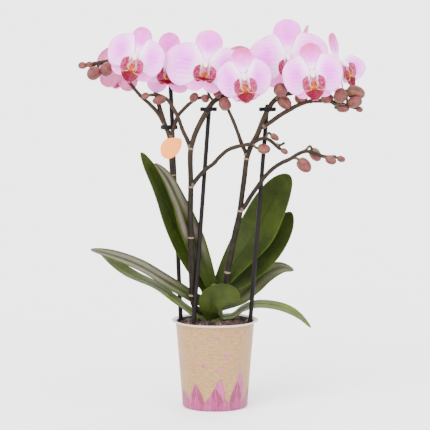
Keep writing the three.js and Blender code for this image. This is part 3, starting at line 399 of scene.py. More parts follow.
def petal_finish():
    """Petals and sepals: near white at the claw, a lilac patch with fanning veins, pinker backs."""
    f = Finish("orchid-petal", Specular_IOR_Level=0.3, Sheen_Weight=0.25, Sheen_Roughness=0.5,
               **soft(0.25, 0.002, 1.0, 0.5, 0.6))
    along, across, back = f.place()
    kind = f.tint()
    where, _ = f.spot()
    cloud = f.noise(where, 160, 3)
    fine = f.noise(where, 1400, 2)
    wander = (f.noise(where, 90, 2) - 0.5) * 0.35
    upper = kind.between(0.5, 0.8) * (1 - kind.between(1.45, 1.6))
    dusky_tip_and_shade = kind.between(1.0, 1.4)
    lower = kind.between(1.6, 1.9)
    reach = across + wander * along
    veins = ((reach * 17).wave().size().between(0.0, 0.7) * -1 + 1) * along.between(0.12, 0.4)
    veins = veins * (1 - along.between(0.8, 1.0)) * (0.35 + cloud)
    patch = along.near(0.5, 0.5) * (1 - across.size().between(0.0, 1.0))
    base = f.mix("#fbdaf8", "#f692ee", along.between(0.05, 0.7) * (0.5 + cloud * 0.8))
    base = f.paint(base, [
        ("#ee46ee", patch * (0.6 + cloud * 0.7)),
        ("#c824cc", veins * along.between(0.15, 0.4) * (1 - along.between(0.6, 0.9)) * 0.48),
        ("#dc44cc", upper * along.between(0.15, 0.85) * (0.35 + cloud * 0.6)),
        # darker dusky pink over the upper sepal's tip: partly its own colour, partly painted shade on
        # sepals that stand in shade
        ("#b83c80", upper * dusky_tip_and_shade * along.between(0.35, 1.0) * (0.6 + cloud * 0.9)),
        ("#c43a9c", upper * veins * 0.45),
        ("#e872c2", lower * (0.35 + cloud * 0.35)),
        ("#cf7d80", lower * (1 - along.between(0.2, 0.75)) * (0.25 + cloud * 0.6)),
        ("#d0489c", lower * veins * 0.6),
        ("#ea78d4", across.size().between(0.84, 1.0) * along.between(0.2, 0.6) * 0.7),
        ("#ea84d8", along.between(0.86, 1.0) * (1 - upper) * 0.6),
    ])
    rear = f.mix("#d070a4", "#ab4c7e", cloud.between(0.35, 0.7) * 0.7 + veins * 0.5)
    rear = f.mix(rear, "#b48468", (1 - along.between(0.05, 0.6)) * 0.75)
    base = f.mix(base, rear, back.between(0.4, 0.6))
    height = veins * -0.5 + fine * 0.35 + cloud * 0.5
    return f.build(base, 0.46 + fine * 0.22, height, 0.00022)


def column_finish():
    """The column and its cap: waxy near white, blushed pink, cream under the cap."""
    f = Finish("orchid-column", Specular_IOR_Level=0.45, **soft(0.3, 0.002, 1.0, 0.6, 0.6))
    along, _, _ = f.place()
    where, _ = f.spot()
    cloud = f.noise(where, 500, 3)
    base = f.mix("#efdfe9", "#e77fd0", cloud.between(0.4, 0.75) * 0.6)
    base = f.mix(base, "#d9b040", along.between(0.8, 1.0) * 0.7)
    return f.build(base, 0.32 + cloud * 0.2, cloud, 0.0002)


def lip_finish():
    """The lip by its parts: 0 side lobes, 1 front lobe, 2 callus, 3 teeth and horns, 4 threads."""
    f = Finish("orchid-lip", Specular_IOR_Level=0.1, Coat_Weight=0.02, Coat_Roughness=0.25,
               **soft(0.06, 0.0015, 1.0, 0.3, 0.3))
    along, across, back = f.place()
    kind = f.tint()
    where, _ = f.spot()
    cloud = f.noise(where, 420, 3)
    speck = f.cells(where, 1500)
    stripes = ((across * 9 + cloud * 3).wave()).between(0.2, 0.95)
    side = f.mix("#3c0114", "#5e021b", cloud.between(0.3, 0.7))
    side = f.paint(side, [
        ("#98106a", along.between(0.55, 1.0) * across.between(-0.3, 0.9) * 0.8),
        ("#93386a", stripes * along.near(0.35, 0.35) * 0.2),
        ("#8a1c05", (1 - along.between(0.12, 0.5)) * across.between(0.35, 1.0) * 0.8),
    ])
    front = f.mix("#540119", "#6e0228", cloud.between(0.35, 0.7))
    front = f.paint(front, [
        ("#8a1805", across.size().between(0.6, 1.0) * (1 - along.between(0.1, 0.45))),
        ("#a8306f", along.between(0.9, 1.0) * 0.8),
    ])
    callus = f.mix("#a84a05", "#852005", cloud.between(0.4, 0.65))
    callus = f.paint(callus, [
        ("#b89a10", (1 - speck.between(0.12, 0.3)) * 0.5),
        ("#a3607c", (1 - along.between(0.35, 0.62)) * 0.85),
        ("#57081c", along.near(0.5, 0.16) * cloud.between(0.4, 0.6) * 0.7),
    ])
    tooth = f.mix("#b8a070", "#9a6038", cloud.between(0.35, 0.75))
    thread = f.mix("#b8688c", "#70032a", along.between(0.2, 0.7))
    base = f.mix(side, front, kind.between(0.4, 0.6))
    base = f.paint(base, [
        (callus, kind.between(1.4, 1.6)),
        (tooth, kind.between(2.4, 2.6)),
        (thread, kind.between(3.4, 3.6)),
    ])
    rear = f.mix("#c15a87", "#8c073d", cloud.between(0.3, 0.7))
    base = f.mix(base, rear, back.between(0.4, 0.6) * (1 - kind.between(1.4, 1.6)) * 0.7)
    return f.build(base, 0.26 + cloud * 0.22, cloud * 0.7 + speck * 0.3, 0.0003)


def leaf_finish(name, painted_sheen):
    """Leaves: waxy, long fine veins, a pale midrib line in a groove darkened by painted shade, a pale rim
    and painted shade towards the base. tint runs from dark 0 to light 1.
    The last argument is how much greyed sheen, a painted reflection on a leaf seen across its surface, it
    has."""
    f = Finish(name, Specular_IOR_Level=0.05, Coat_Weight=0.02, Coat_Roughness=0.3,
               **soft(0.06, 0.002, 0.5, 1.0, 0.2))
    along, across, back = f.place()
    light = f.tint()
    where, _ = f.spot()
    streak = f.noise(f.vector(along * 5, across * 26, 0), 1, 3)
    fine = f.noise(f.vector(along * 24, across * 150, 3), 1, 2)
    cloud = f.noise(where, 45, 4)
    speck = f.noise(where, 900, 2)
    young = light.between(0, 1)
    dark = f.mix("#1a210a", "#2c370f", cloud.between(0.3, 0.7) * 0.7 + streak * 0.3)
    pale = f.mix("#384508", "#566214", cloud.between(0.3, 0.7) * 0.6 + streak * 0.4)
    base = f.mix(dark, pale, young)
    # Painted reflection: a greyed sheen across each half of the blade, where a leaf is seen across its
    # surface.
    sheen = across.size().near(0.5, 0.5) * along.between(0.1, 0.45)
    base = f.paint(base, [
        ("#6c605c", sheen * streak.between(0.25, 0.6) * painted_sheen),
        # painted shade: darker towards the leaf's base, where the leaves crowd at the crown
        ("#121903", (1 - along.between(0.0, 0.22)) * 0.35),
        ("#1d2b04", fine.between(0.45, 0.8) * 0.28),
        # painted shade: a dark band in the midrib groove, under the pale midrib line
        ("#111703", across.near(0, 0.085) * (1 - along.between(0.8, 1.0)) * 0.55),
        ("#3a4d06", across.near(0, 0.02) * (1 - along.between(0.7, 1.0)) * 0.35),
        ("#324704", across.size().between(0.93, 1.0) * 0.8),
    ])
    under = f.mix("#1f280e", "#2f3714", cloud.between(0.3, 0.7))
    under = f.mix(under, "#2f2212", cloud.between(0.55, 0.8) * 0.4)
    base = f.mix(base, under, back.between(0.4, 0.6) * 0.75)
    height = streak * 0.9 + fine * 0.35 + speck * 0.12
    return f.build(base, 0.3 + streak * 0.16 + speck * 0.1, height, 0.00045)


def stem_finish():
    """Flower stems: brown over green with pale flecks. tint 1 is the dry rind of a node's ring."""
    f = Finish("orchid-stem", Specular_IOR_Level=0.1)
    along, _, _ = f.place()
    ring = f.tint()
    where, (_, _, z) = f.spot()
    cloud = f.noise(where, 130, 4)
    fleck = f.cells(where, 1500)
    fine = f.noise(where, 1500, 3)
    base = f.mix("#140f0b", "#1f1a13", cloud.between(0.35, 0.68))
    base = f.paint(base, [
        ("#1a1f0a", along.between(0.0, 1.0) * cloud.between(0.45, 0.7) * 0.3),
        ("#2c261a", (1 - fleck.between(0.1, 0.26)) * 0.3),
        ("#3e2e24", z.between(0.2, 0.34) * (0.3 + cloud * 0.4)),
    ])
    rind = f.mix("#7d6a5c", "#4a3a30", fine.between(0.35, 0.7))
    base = f.mix(base, rind, ring.between(0.3, 0.7))
    return f.build(base, 0.42 + fine * 0.3, fine * 0.6 + cloud * 0.4, 0.0003)


def bud_finish():
    """Buds: muted rose over brown, green-beige at the base and along the seams of the sepals."""
    f = Finish("orchid-bud", Specular_IOR_Level=0.22, Coat_Weight=0.04, Coat_Roughness=0.4,
               **soft(0.1, 0.002, 1.0, 0.4, 0.4))
    along, across, _ = f.place()
    stalk = f.tint()
    where, _ = f.spot()
    cloud = f.noise(where, 230, 3)
    fine = f.noise(where, 1300, 2)
    seam = 1 - across.size().between(0.0, 0.3)
    base = f.mix("#4e2422", "#6a3034", cloud.between(0.35, 0.68))
    base = f.paint(base, [
        ("#7a4242", fine.between(0.5, 0.8) * 0.4),
        ("#56482a", (1 - along.between(0.0, 0.42)) * (0.3 + cloud)),
        ("#6b5730", seam * (0.15 + cloud * 0.6)),
        ("#3a1b1a", along.between(0.82, 1.0) * 0.45),
    ])
    green = f.mix("#3a3120", "#2c2219", cloud.between(0.35, 0.7))
    base = f.mix(base, green, stalk.between(0.4, 0.6))
    return f.build(base, 0.4 + fine * 0.22, seam * -0.9 + fine * 0.3 + cloud * 0.4, 0.0004)


def leaf_row(f, around, height, count, shift, tall, wide, seed):
    """A border of brushed leaves round the pot: its mask, its wet darker edge and its pale vein.

    Each of `count` cells holds one leaf, whose half width is wide * sin(pi s^0.8), s being the
    share of its own height. Height, tilt and place are drawn from the cell's number.
    """
    cell = around * count + shift
    number = f.math("FLOOR", cell) + seed
    luck, again = (f.node("ShaderNodeTexWhiteNoise", {"noise_dimensions": "1D"}, {"W": number + more})
                   for more in (0, 0.5))
    share = f.math("MAXIMUM", height + 4, 0.01) / (tall * (0.6 + 0.4 * luck) + 4)
    lean = (again - 0.5) * 0.32 * height
    beside = (cell.part() - 0.5) * (2 * math.pi * POT_MIDDLE / count) - lean
    half = f.math("MAXIMUM", ((share ** 0.8) * math.pi).wave() * wide, 0.0)
    edge = half - beside.size()
    inside = edge.between(0.0, 0.45) * (1 - share.between(0.985, 1.0))
    return inside, 1 - edge.between(0.2, 1.5), 1 - beside.size().between(0.12, 0.55), luck


def pot_finish():
    """The pot's thin plastic by its parts: 0 printed outside, 1 milky rim, 2 inside, painted near black
    as shade.

    The print is fibrous brown paper with a border of pink brushed leaves and small dots over it.
    """
    f = Finish("pot-print", Specular_IOR_Level=0.4, Coat_Weight=0.1, Coat_Roughness=0.3)
    where, (x, y, z) = f.spot()
    part = f.tint()
    around = f.math("ARCTAN2", y, x) / (2 * math.pi) + 0.5
    height = z * 1000
    fibre = f.noise(f.vector(around * 45, z * 700, 0), 1, 4, 0.6)
    cloud = f.noise(where, 55, 4)
    wash = f.noise(where, 150, 4, 0.6)
    fine = f.noise(where, 1600, 2)
    base = f.mix("#86593a", "#947d4e", fibre.between(0.3, 0.72))
    base = f.mix(base, "#6f4b33", cloud.between(0.5, 0.8) * 0.35)
    rows = [
        (9, 0.2, 43, 8.6, 3, "#973571"),
        (11, 0.65, 32, 8.2, 11, "#701342"),
        (14, 0.4, 20, 8.0, 29, "#88255d"),
    ]
    for count, shift, tall, wide, seed, ink in rows:
        inside, wet, vein, luck = leaf_row(f, around, height, count, shift, tall, wide, seed)
        stroke = f.mix(ink, "#5d0f35", wet * 0.6 + wash.between(0.45, 0.75) * 0.35)
        stroke = f.mix(stroke, "#a6529d", vein * 0.7 + wash.between(0.2, 0.5) * -0.3 + luck * 0.25)
        base = f.mix(base, stroke, inside * (0.72 + wash * 0.35))
    dots = f.vector(around * 16, height / 14.6, 0)
    drop = 1 - f.cells(dots, 1.0).between(0.17, 0.25)
    drop = drop * height.between(36, 48) * (1 - height.between(72, 80))
    base = f.mix(base, f.mix("#7f2251", "#a6407f", wash.between(0.35, 0.65)), drop * 0.75)
    rim = f.mix("#bcaca4", "#b09a8c", cloud.between(0.3, 0.7))
    # painted shade: the inside of the wall, near black where the rim shades it
    inner = f.mix("#0a0707", "#130d0d", wash.between(0.35, 0.7))
    base = f.paint(base, [
        (rim, part.between(0.4, 0.6)),
        (inner, part.between(1.4, 1.6)),
    ])
    return f.build(base, 0.42 + fibre * 0.14 + fine * 0.06, fibre * 0.6 + fine * 0.4, 0.00012)


def bark_finish():
    """Bark chips: layered browns, grey weathered faces and a few tan ones, by each chip's tint."""
    f = Finish("bark-chip", Specular_IOR_Level=0.25)
    _, across, _ = f.place()
    chip = f.tint()
    where, _ = f.spot()
    layer = f.noise(f.vector(across * 3, chip * 40, 0), 6, 4, 0.65)
    grain = f.noise(where, 420, 6, 0.7)
    pit = f.cells(where, 900)
    base = f.mix("#0d0807", "#3c2822", grain.between(0.35, 0.65))
    base = f.paint(base, [
        ("#533b2e", layer.between(0.5, 0.75) * chip.between(0.25, 0.7) * 0.8),
        ("#74522f", chip.between(0.86, 0.9) * grain.between(0.25, 0.6) * 0.85),
        ("#7d6a60", chip.near(0.5, 0.14) * grain.between(0.42, 0.62) * 0.9),
        ("#080505", (1 - pit.between(0.05, 0.32)) * 0.7),
    ])
    return f.build(base, 0.72 + grain * 0.25, grain * 0.7 + pit * 0.3 + layer * 0.3, 0.0012)


def crown_finish():
    """The crown's leaf bases: green, ribbed along, browned where old leaves came off."""
    f = Finish("crown-green", Specular_IOR_Level=0.4)
    along, across, _ = f.place()
    where, _ = f.spot()
    ribs = f.noise(f.vector(along * 2, across * 40, 0), 1, 3)
    cloud = f.noise(where, 120, 4)
    base = f.mix("#1f2b0b", "#354510", ribs.between(0.3, 0.7))
    base = f.mix(base, "#42321a", (1 - along.between(0.2, 0.6)) * cloud.between(0.35, 0.6))
    return f.build(base, 0.4 + cloud * 0.25, ribs, 0.0006)


def plastic_finish(name, dark, light, roughness, streak):
    """Moulded plastic with a little cloudiness, fine draw lines along +Z and a grained skin."""
    f = Finish(name, Specular_IOR_Level=0.1)
    where, (x, y, z) = f.spot()
    lines = f.noise(f.vector(x * 2600, y * 2600, z * streak), 1, 2)
    cloud = f.noise(where, 110, 3)
    fine = f.noise(where, 2400, 2)
    base = f.mix(dark, light, lines.between(0.35, 0.75) * 0.5 + cloud.between(0.4, 0.8) * 0.35)
    return f.build(base, roughness + fine * 0.14 + lines * 0.1, lines * 0.6 + fine * 0.4, 0.00012)


def card_finish():
    """Uncoated peach card: paper fibres, faint clouds and a darker rubbed edge."""
    f = Finish("tag-card", Specular_IOR_Level=0.25)
    along, _, _ = f.place()
    where, (x, y, z) = f.spot()
    fibre = f.noise(f.vector(x * 900, y * 900, z * 2600), 1, 4, 0.65)
    cloud = f.noise(where, 200, 3)
    base = f.mix("#ea7632", "#ea9f41", fibre.between(0.3, 0.7) * 0.6 + cloud * 0.4)
    base = f.mix(base, "#c25a31", along.between(0.9, 1.0) * 0.7)
    return f.build(base, 0.68 + fibre * 0.2, fibre, 0.00012)


def floor_finish():
    """A plain pale studio floor."""
    f = Finish("studio-floor", Specular_IOR_Level=0.1)
    where, _ = f.spot()
    mist = f.noise(where, 3, 2)
    return f.build(f.mix("#f7f6f5", "#fbfaf9", mist), 0.85 + mist * 0.1)


# ---- pot, bark and crown ---------------------------------------------------------------------
RIM_RADIUS, TOP_RADIUS, FOOT_RADIUS = 45.0, 40.8, 34.0
POT_MIDDLE = (TOP_RADIUS + FOOT_RADIUS) / 2
WALL, FLOOR_THICKNESS = 0.9, 1.6
BARK_LEVEL, HEAP_RISE, CHIP_COUNT = 86.0, 5.8, 260
CROWN_FOOT, CROWN_TOP, CROWN_AT = 62.0, 131.0, (-1.0, 1.0)


def arc(centre, radius, start, end, count):
    """Points (r, z) on part of a circle, angles in degrees from +r towards +z."""
    angle = np.radians(np.linspace(start, end, count))
    return [(centre[0] + radius * math.cos(a), centre[1] + radius * math.sin(a)) for a in angle]


def pot():
    """The pot turned about +Z. Its outline goes up the outside, round the curled rim and down the
    inside to its floor. The foot is rounded by a quarter circle, the rim's lip by a half.
    """
    foot = arc((FOOT_RADIUS - 2.4, 2.4), 2.4, -90, -5, 8)
    wall = [(blend(FOOT_RADIUS, TOP_RADIUS, t) - 0.25 * math.sin(math.pi * t), blend(2.6, 88.2, t))
            for t in np.linspace(0.01, 0.995, 40)]
    flare = [(TOP_RADIUS + 0.25, 88.9), (TOP_RADIUS + 1.2, 89.5), (RIM_RADIUS - 1.6, 89.75)]
    lip = arc((RIM_RADIUS - 0.75, 90.45), 0.7, -70, 130, 9)
    hollow = [(RIM_RADIUS - 2.4, 90.75), (TOP_RADIUS + 0.6, 90.5), (TOP_RADIUS - 0.4, 90.2)]
    bore = [(TOP_RADIUS - WALL, 89.2), (blend(FOOT_RADIUS, TOP_RADIUS, 0.94) - WALL, BARK_LEVEL - 3),
            (FOOT_RADIUS - WALL, FLOOR_THICKNESS + 2), (FOOT_RADIUS - WALL - 2, FLOOR_THICKNESS)]
    outline = [(0.5, 0.0), (FOOT_RADIUS - 4, 0.0)] + foot + wall + flare + lip + hollow + bore
    outline += [(0.5, FLOOR_THICKNESS)]
    rings = lathe(outline, 192)
    part = np.zeros(len(outline))
    part[2 + len(foot) + len(wall):] = 1
    part[len(outline) - len(bore) - 1:] = 2
    body = Body()
    body.add(rings, tint=part[:, None])
    return body


def turned(angle, axis):
    """A turn by an angle about X, Y or Z (0, 1, 2), as a matrix for columns."""
    a, b = (axis + 1) % 3, (axis + 2) % 3
    matrix = np.eye(3)
    matrix[a, a] = matrix[b, b] = math.cos(angle)
    matrix[a, b], matrix[b, a] = -math.sin(angle), math.sin(angle)
    return matrix


def chips(rng):
    """Bark chips heaped over the plug. Each is a rounded slab: a ball's directions pushed out to
    |x|^p + |y|^p + |z|^p = 1 with p near 5, roughened by sines, then turned, tilted and laid at a
    spot that keeps clear of the stakes and the crown.
    """
    body = Body()
    plug = [(0.5, 60), (38.3, 60), (39.0, BARK_LEVEL - 3), (36, BARK_LEVEL - 1.5), (0.5, BARK_LEVEL)]
    body.add(lathe(plug, 64), tint=0.1)
    turn, rise = ball_angles(5, 8, 1.3)
    slab = rounded_block((0, 0, 0), (1, 1, 1), 4.5, ball_directions(turn, rise))
    stakes = [stake_at(name, BARK_LEVEL)[:2] for name in STAKES]
    laid = 0
    while laid < CHIP_COUNT:
        size = np.array([rng.uniform(3.2, 6.4), rng.uniform(2.4, 4.2), rng.uniform(1.9, 3.4)])
        far = math.sqrt(rng.uniform()) * (37.6 - size[0] * 0.75)
        heading = rng.uniform(0, 2 * math.pi)
        spot = np.array([far * math.cos(heading), far * math.sin(heading)])
        clear = min(np.linalg.norm(spot - other) for other in stakes)
        if clear < 3.4 or np.linalg.norm(spot - np.array(CROWN_AT)) < 11:
            continue
        heap = 1.5 + 3.8 * math.cos(far / 38.0 * 1.4)
        height = BARK_LEVEL - 1.6 + heap * rng.uniform(0.1, 1.0)
        rough = 1 + 0.1 * np.sin(3.1 * turn + rng.uniform(0, 6)) * np.cos(2.3 * rise + rng.uniform(0, 6))
        shape = slab * size * rough[..., None]
        a, b, c = rng.uniform(0, 2 * math.pi), rng.uniform(-0.8, 0.8), rng.uniform(-0.8, 0.8)
        rings = shape @ (turned(a, 2) @ turned(b, 0) @ turned(c, 1)).T + [*spot, height]
        if rings[..., 2].max() > BARK_LEVEL + HEAP_RISE:
            continue
        grain = np.stack([turn, shape[..., 2] / 3, rise], axis=-1)
        body.add(rings, grain, rng.uniform(0.0, 1.0))
        laid += 1
    return body


def crown():
    """The crown turned about its own axis, with a rib for each leaf base: r (1 + 0.05 cos 5a)."""
    outline = [(0.4, CROWN_FOOT), (6, 64), (8.6, 84), (9.1, 100), (7.7, 116), (4.3, 127),
               (0.4, CROWN_TOP)]
    smooth = Path([(r, 0, z) for r, z in outline]).at(np.linspace(0, 1, 40))
    rings = lathe(smooth[:, [0, 2]], 60)
    angle = np.linspace(0, 2 * np.pi, 60, endpoint=False)
    rings[..., :2] *= (1 - 0.05 * (1 - np.cos(5 * angle + 0.4)))[None, :, None]
    rings[..., :2] += CROWN_AT
    place = lengthwise(np.linspace(0, 1, 40), 60)
    place[..., 1] = angle / (2 * np.pi)
    body = Body()
    body.add(rings, place)
    return body


# ---- stakes, clips and card ------------------------------------------------------------------
STAKES = {
    "left": ((-34.4, 5, 60), (-45.9, 8, 335)),
    "middle": ((-24.2, -20, 60), (-5.8, 3, 313)),
    "right": ((34.3, -6, 60), (53.6, -8, 315)),
}
STAKE_RADIUS = 2.25
CLIPS = {"left": 290.5, "middle": 309.5, "right": 310.0}
CLIP_HEIGHT, BAND_RADIUS, WING_REACH, WING_THICKNESS = 4.2, 3.6, 8.8, 2.0
CARD_SIZE, CARD_THICKNESS, CARD_HEIGHT = 22.0, 0.8, 269.2


def stake_at(name, z):
    """A stake's middle at a height: a straight line from its foot to its tip."""
    foot, tip = (np.array(end, float) for end in STAKES[name])
    return foot + (tip - foot) * (z - foot[2]) / (tip[2] - foot[2])


def stake(name):
    """A straight rod with a dome of 0.8 radius at its tip and faint flutes: r (1 + 0.03 cos 8a)."""
    foot, tip = STAKES[name]
    path = Path([foot, tip])
    dome = np.radians(np.linspace(0, 88, 10))
    domed = 1.6 / path.length
    t = np.concatenate([np.linspace(0, 1 - domed, 60), 1 - domed * (1 - np.sin(dome))])
    radius = np.concatenate([np.full(60, STAKE_RADIUS), STAKE_RADIUS * np.cos(dome)])
    angle = np.linspace(0, 2 * np.pi, 32, endpoint=False)
    flutes = 0.97 + 0.03 * np.cos(8 * angle)
    body = Body()
    body.add(tube(path, t, radius[:, None] * flutes, 32))
    return body


def spike_at(name, z):
    """Middle of a spike's main stem at a height, on straight lines between its points."""
    points = np.array(SPIKES[name][0][0][2], float)
    upper = int(np.argmax(points[:, 2] > z))
    low, high = points[upper - 1], points[upper]
    return blend(low, high, (z - low[2]) / (high[2] - low[2]))


def clip(name):
    """A clip: a band whose rounded section follows a stadium round stake and spike, with a wing,
    ribbed end block to each side."""
    z = CLIPS[name]
    first, second = stake_at(name, z), spike_at("spike-" + name, z)
    heading = math.atan2(second[1] - first[1], second[0] - first[0])
    turn = np.linspace(-math.pi / 2, math.pi / 2, 14)
    angle = heading + np.concatenate([turn, turn + math.pi])
    centre = np.where(np.arange(28)[:, None] < 14, second, first)
    out = np.stack([np.cos(angle), np.sin(angle), 0 * angle], axis=-1)
    section = np.linspace(0, 2 * np.pi, 20, endpoint=False)
    square = (np.abs(np.cos(section)) ** 5 + np.abs(np.sin(section)) ** 5) ** -0.2
    across = BAND_RADIUS + 0.65 * square * np.cos(section)
    rise = CLIP_HEIGHT / 2 * square * np.sin(section)
    rings = centre[:, None] + out[:, None] * across[None, :, None]
    rings[..., 2] = z + rise
    body = Body()
    body.add(rings, closed=True)
    middle = (first + second) / 2
    for side in (-1, 1):
        wing = (middle[0] + side * 4.7, middle[1], z)
        body.add(rounded_block(wing, (3.2, WING_THICKNESS / 2, CLIP_HEIGHT * 0.34)))
        knob = (middle[0] + side * (WING_REACH - 2.1), middle[1], z)
        body.add(rounded_block(knob, (2.1, WING_THICKNESS / 2 + 0.5, CLIP_HEIGHT / 2)))
        for rib in (-1.2, 0, 1.2):
            place = (knob[0] + rib, knob[1], z)
            body.add(rounded_block(place, (0.25, WING_THICKNESS / 2 + 0.8, CLIP_HEIGHT * 0.4)))
    return body


def bezier(a, b, c, d, count):
    """Points of a cubic with end points a, d and handles b, c, without its last."""
    t = np.linspace(0, 1, count, endpoint=False)[:, None]
    a, b, c, d = (np.array(p, float) for p in (a, b, c, d))
    return a * (1 - t) ** 3 + 3 * b * t * (1 - t) ** 2 + 3 * c * t**2 * (1 - t) + d * t**3


def tag():
    """The egg-shaped card, slightly bowed (0.012 x^2), with a rounded rim, and its collar."""
    half = CARD_SIZE / 2
    corners = [(1, 0.62), (1, -0.2), (0.35, -1), (-0.25, -1), (-0.7, -1), (-1, -0.62), (-1, -0.1),
               (-1, 0.55), (-0.5, 1), (0.1, 1), (0.55, 1), (1, 1), (1, 0.62)]
    arcs = [bezier(*corners[3 * k:3 * k + 4], count) for k, count in enumerate((24, 18, 20, 14))]
    outline = np.vstack(arcs) * half
    grip = spike_at("spike-left", CARD_HEIGHT)
    inward = [0.02, 0.2, 0.4, 0.6, 0.8, 0.93, 0.985, 1.0]
    rim = np.array(inward + inward[::-1])
    depth = np.array([-1] * 6 + [-0.9, -0.5, 0.5, 0.9] + [1] * 6) * CARD_THICKNESS / 2
    flat = outline[None] * rim[:, None, None]
    bow = 0.004 * flat[..., 0] ** 2
    back = grip[1] - 3 - CARD_THICKNESS / 2
    x, y, z = grip[0] + 0.8 + flat[..., 0], back + depth[:, None] - bow, CARD_HEIGHT + flat[..., 1]
    body = Body()
    body.add(np.stack([x, y, z], axis=-1), lengthwise(rim, len(outline)))
    section = np.linspace(0, 2 * np.pi, 16, endpoint=False)
    turn = np.linspace(0, 2 * np.pi, 36, endpoint=False)
    reach = 3.35 + 0.6 * np.cos(section)
    collar = np.stack([grip[0] + np.outer(np.cos(turn), reach), grip[1] + np.outer(np.sin(turn), reach),
                       np.broadcast_to(CARD_HEIGHT + 1.5 * np.sin(section), (36, 16))], axis=-1)
    body.add(collar, closed=True)
    return body


# ---- leaves ----------------------------------------------------------------------------------
# Each leaf: the line of its midrib, the direction from the midrib to its second edge at even steps
# along it, its greatest half width, the width of its base as a share of that, how far its edges
# stand over the midrib, how young its green is, how strongly its edges wave and how much greyed
# sheen it has, a painted reflection.
LEAF_FIELDS = ("midrib", "across", "half", "foot", "fold", "light", "wave", "painted_sheen")
LEAF_ROWS = {
    "leaf-left-tall": (
        [(-5, 2, 119), (-18, 3, 141), (-29, 2, 163), (-39, -4, 185), (-49, -10, 208), (-59, -13, 233),
         (-69, -15, 252), (-76, -15, 266)],
        [(-0.88, -0.15, -0.45), (-0.82, -0.35, -0.42), (-0.55, -0.75, -0.3), (-0.5, -0.8, -0.2)],
        14, 0.45, 0.2, 0.12, 0.25, 0,
    ),
    "leaf-left-inner": (
        [(-4, -1, 126), (-12, -3, 149), (-20, -6, 171), (-30, -10, 195), (-39, -14, 217), (-49, -17, 238),
         (-56, -18, 248), (-62, -18, 255)],
        [(-0.88, -0.15, -0.45), (-0.82, -0.35, -0.42), (-0.5, -0.8, -0.3), (-0.5, -0.8, -0.2)],
        12.5, 0.5, 0.15, 0.15, 0.2, 1,
    ),
    "leaf-left-arching": (
        [(-6, 0, 106), (-23, -2.5, 114), (-36, -6, 122), (-53, -12, 133), (-72, -19, 146),
         (-89, -25, 155), (-107, -29, 162), (-127, -33, 168)],
        [(0.3, -0.5, -0.8), (0.05, -0.85, -0.4), (0, -0.85, -0.3)],
        13, 0.4, 0.15, 0.2, 0.25, 1,
    ),
    "leaf-left-low": (
        [(-7, 0, 93), (-24, -5, 99), (-39, -10, 111), (-56, -12, 124), (-69, -13, 131), (-80, -13, 136),
         (-91, -13, 142), (-105, -12, 152), (-121, -10, 166)],
        [(0.3, -0.75, -0.55), (0, -0.95, -0.25), (0, -0.8, -0.45)],
        12, 0.4, 0.12, 0.8, 0.7, 0,
    ),
    "leaf-right-tall": (
        [(1, 2, 120), (17, 8, 144), (31, 12, 163), (44, 14, 181), (56, 14, 205), (67, 12, 226),
         (77, 10, 241)],
        [(-0.5, 0.7, 0.2), (-0.74, 0.52, 0.42), (-0.8, 0.4, 0.45)],
        22, 0.35, 0.1, 0.1, 0.25, 0,
    ),
    "leaf-right-back": (
        [(3, 5, 111), (24, 15, 128), (41, 21, 145), (58, 25, 163), (71, 27, 182), (80, 27, 200)],
        [(-0.4, 0.75, 0.3), (-0.65, 0.6, 0.4), (-0.7, 0.5, 0.4)],
        17, 0.4, 0.1, 0.18, 0.2, 0,
    ),
    "leaf-right-lower": (
        [(3, 4, 102), (26, 16, 111), (40, 23, 122), (54, 29, 134), (69, 33, 140), (83, 34, 138)],
        [(-0.35, 0.8, 0.4), (-0.35, 0.8, 0.5), (-0.2, 0.85, 0.4)],
        14, 0.5, 0.12, 0.35, 0.3, 0.5,
    ),
    "leaf-right-drooping": (
        [(2, 3, 92), (18, 7, 93), (30, 11, 100), (43, 14, 104), (60, 15, 103), (77, 13, 98), (89, 10, 91),
         (100, 7, 81)],
        [(0, 0.96, 0.25), (0, 0.97, 0.22), (-0.1, 0.9, 0.4)],
        11, 0.5, 0.1, 0.75, 0.3, 0,
    ),
    "leaf-front-short": (
        [(0, -7, 93), (-5, -14, 102), (-4, -20, 113), (3, -25, 119), (14, -28, 121), (25, -29, 116)],
        [(1, 0, 0), (0.45, -0.2, -0.85), (0.2, -0.3, -0.9)],
        12.5, 0.5, -0.2, 0.12, 0.25, 0,
    ),
}
LEAVES = {name: dict(zip(LEAF_FIELDS, row)) for name, row in LEAF_ROWS.items()}


def leaf_outline(u, foot):
    """Half width as a share: foot to 1 by a sine until 55%, then a round tip by a root."""
    rising = blend(foot, 1, np.sin(np.pi / 2 * np.clip(u / 0.55, 0, 1)))
    late = np.clip((u - 0.55) / 0.45, 0, 1)
    falling = np.sqrt(1 - late**2.2) * 0.92 + 0.08 * (1 - late)
    return np.where(u < 0.55, rising, falling)


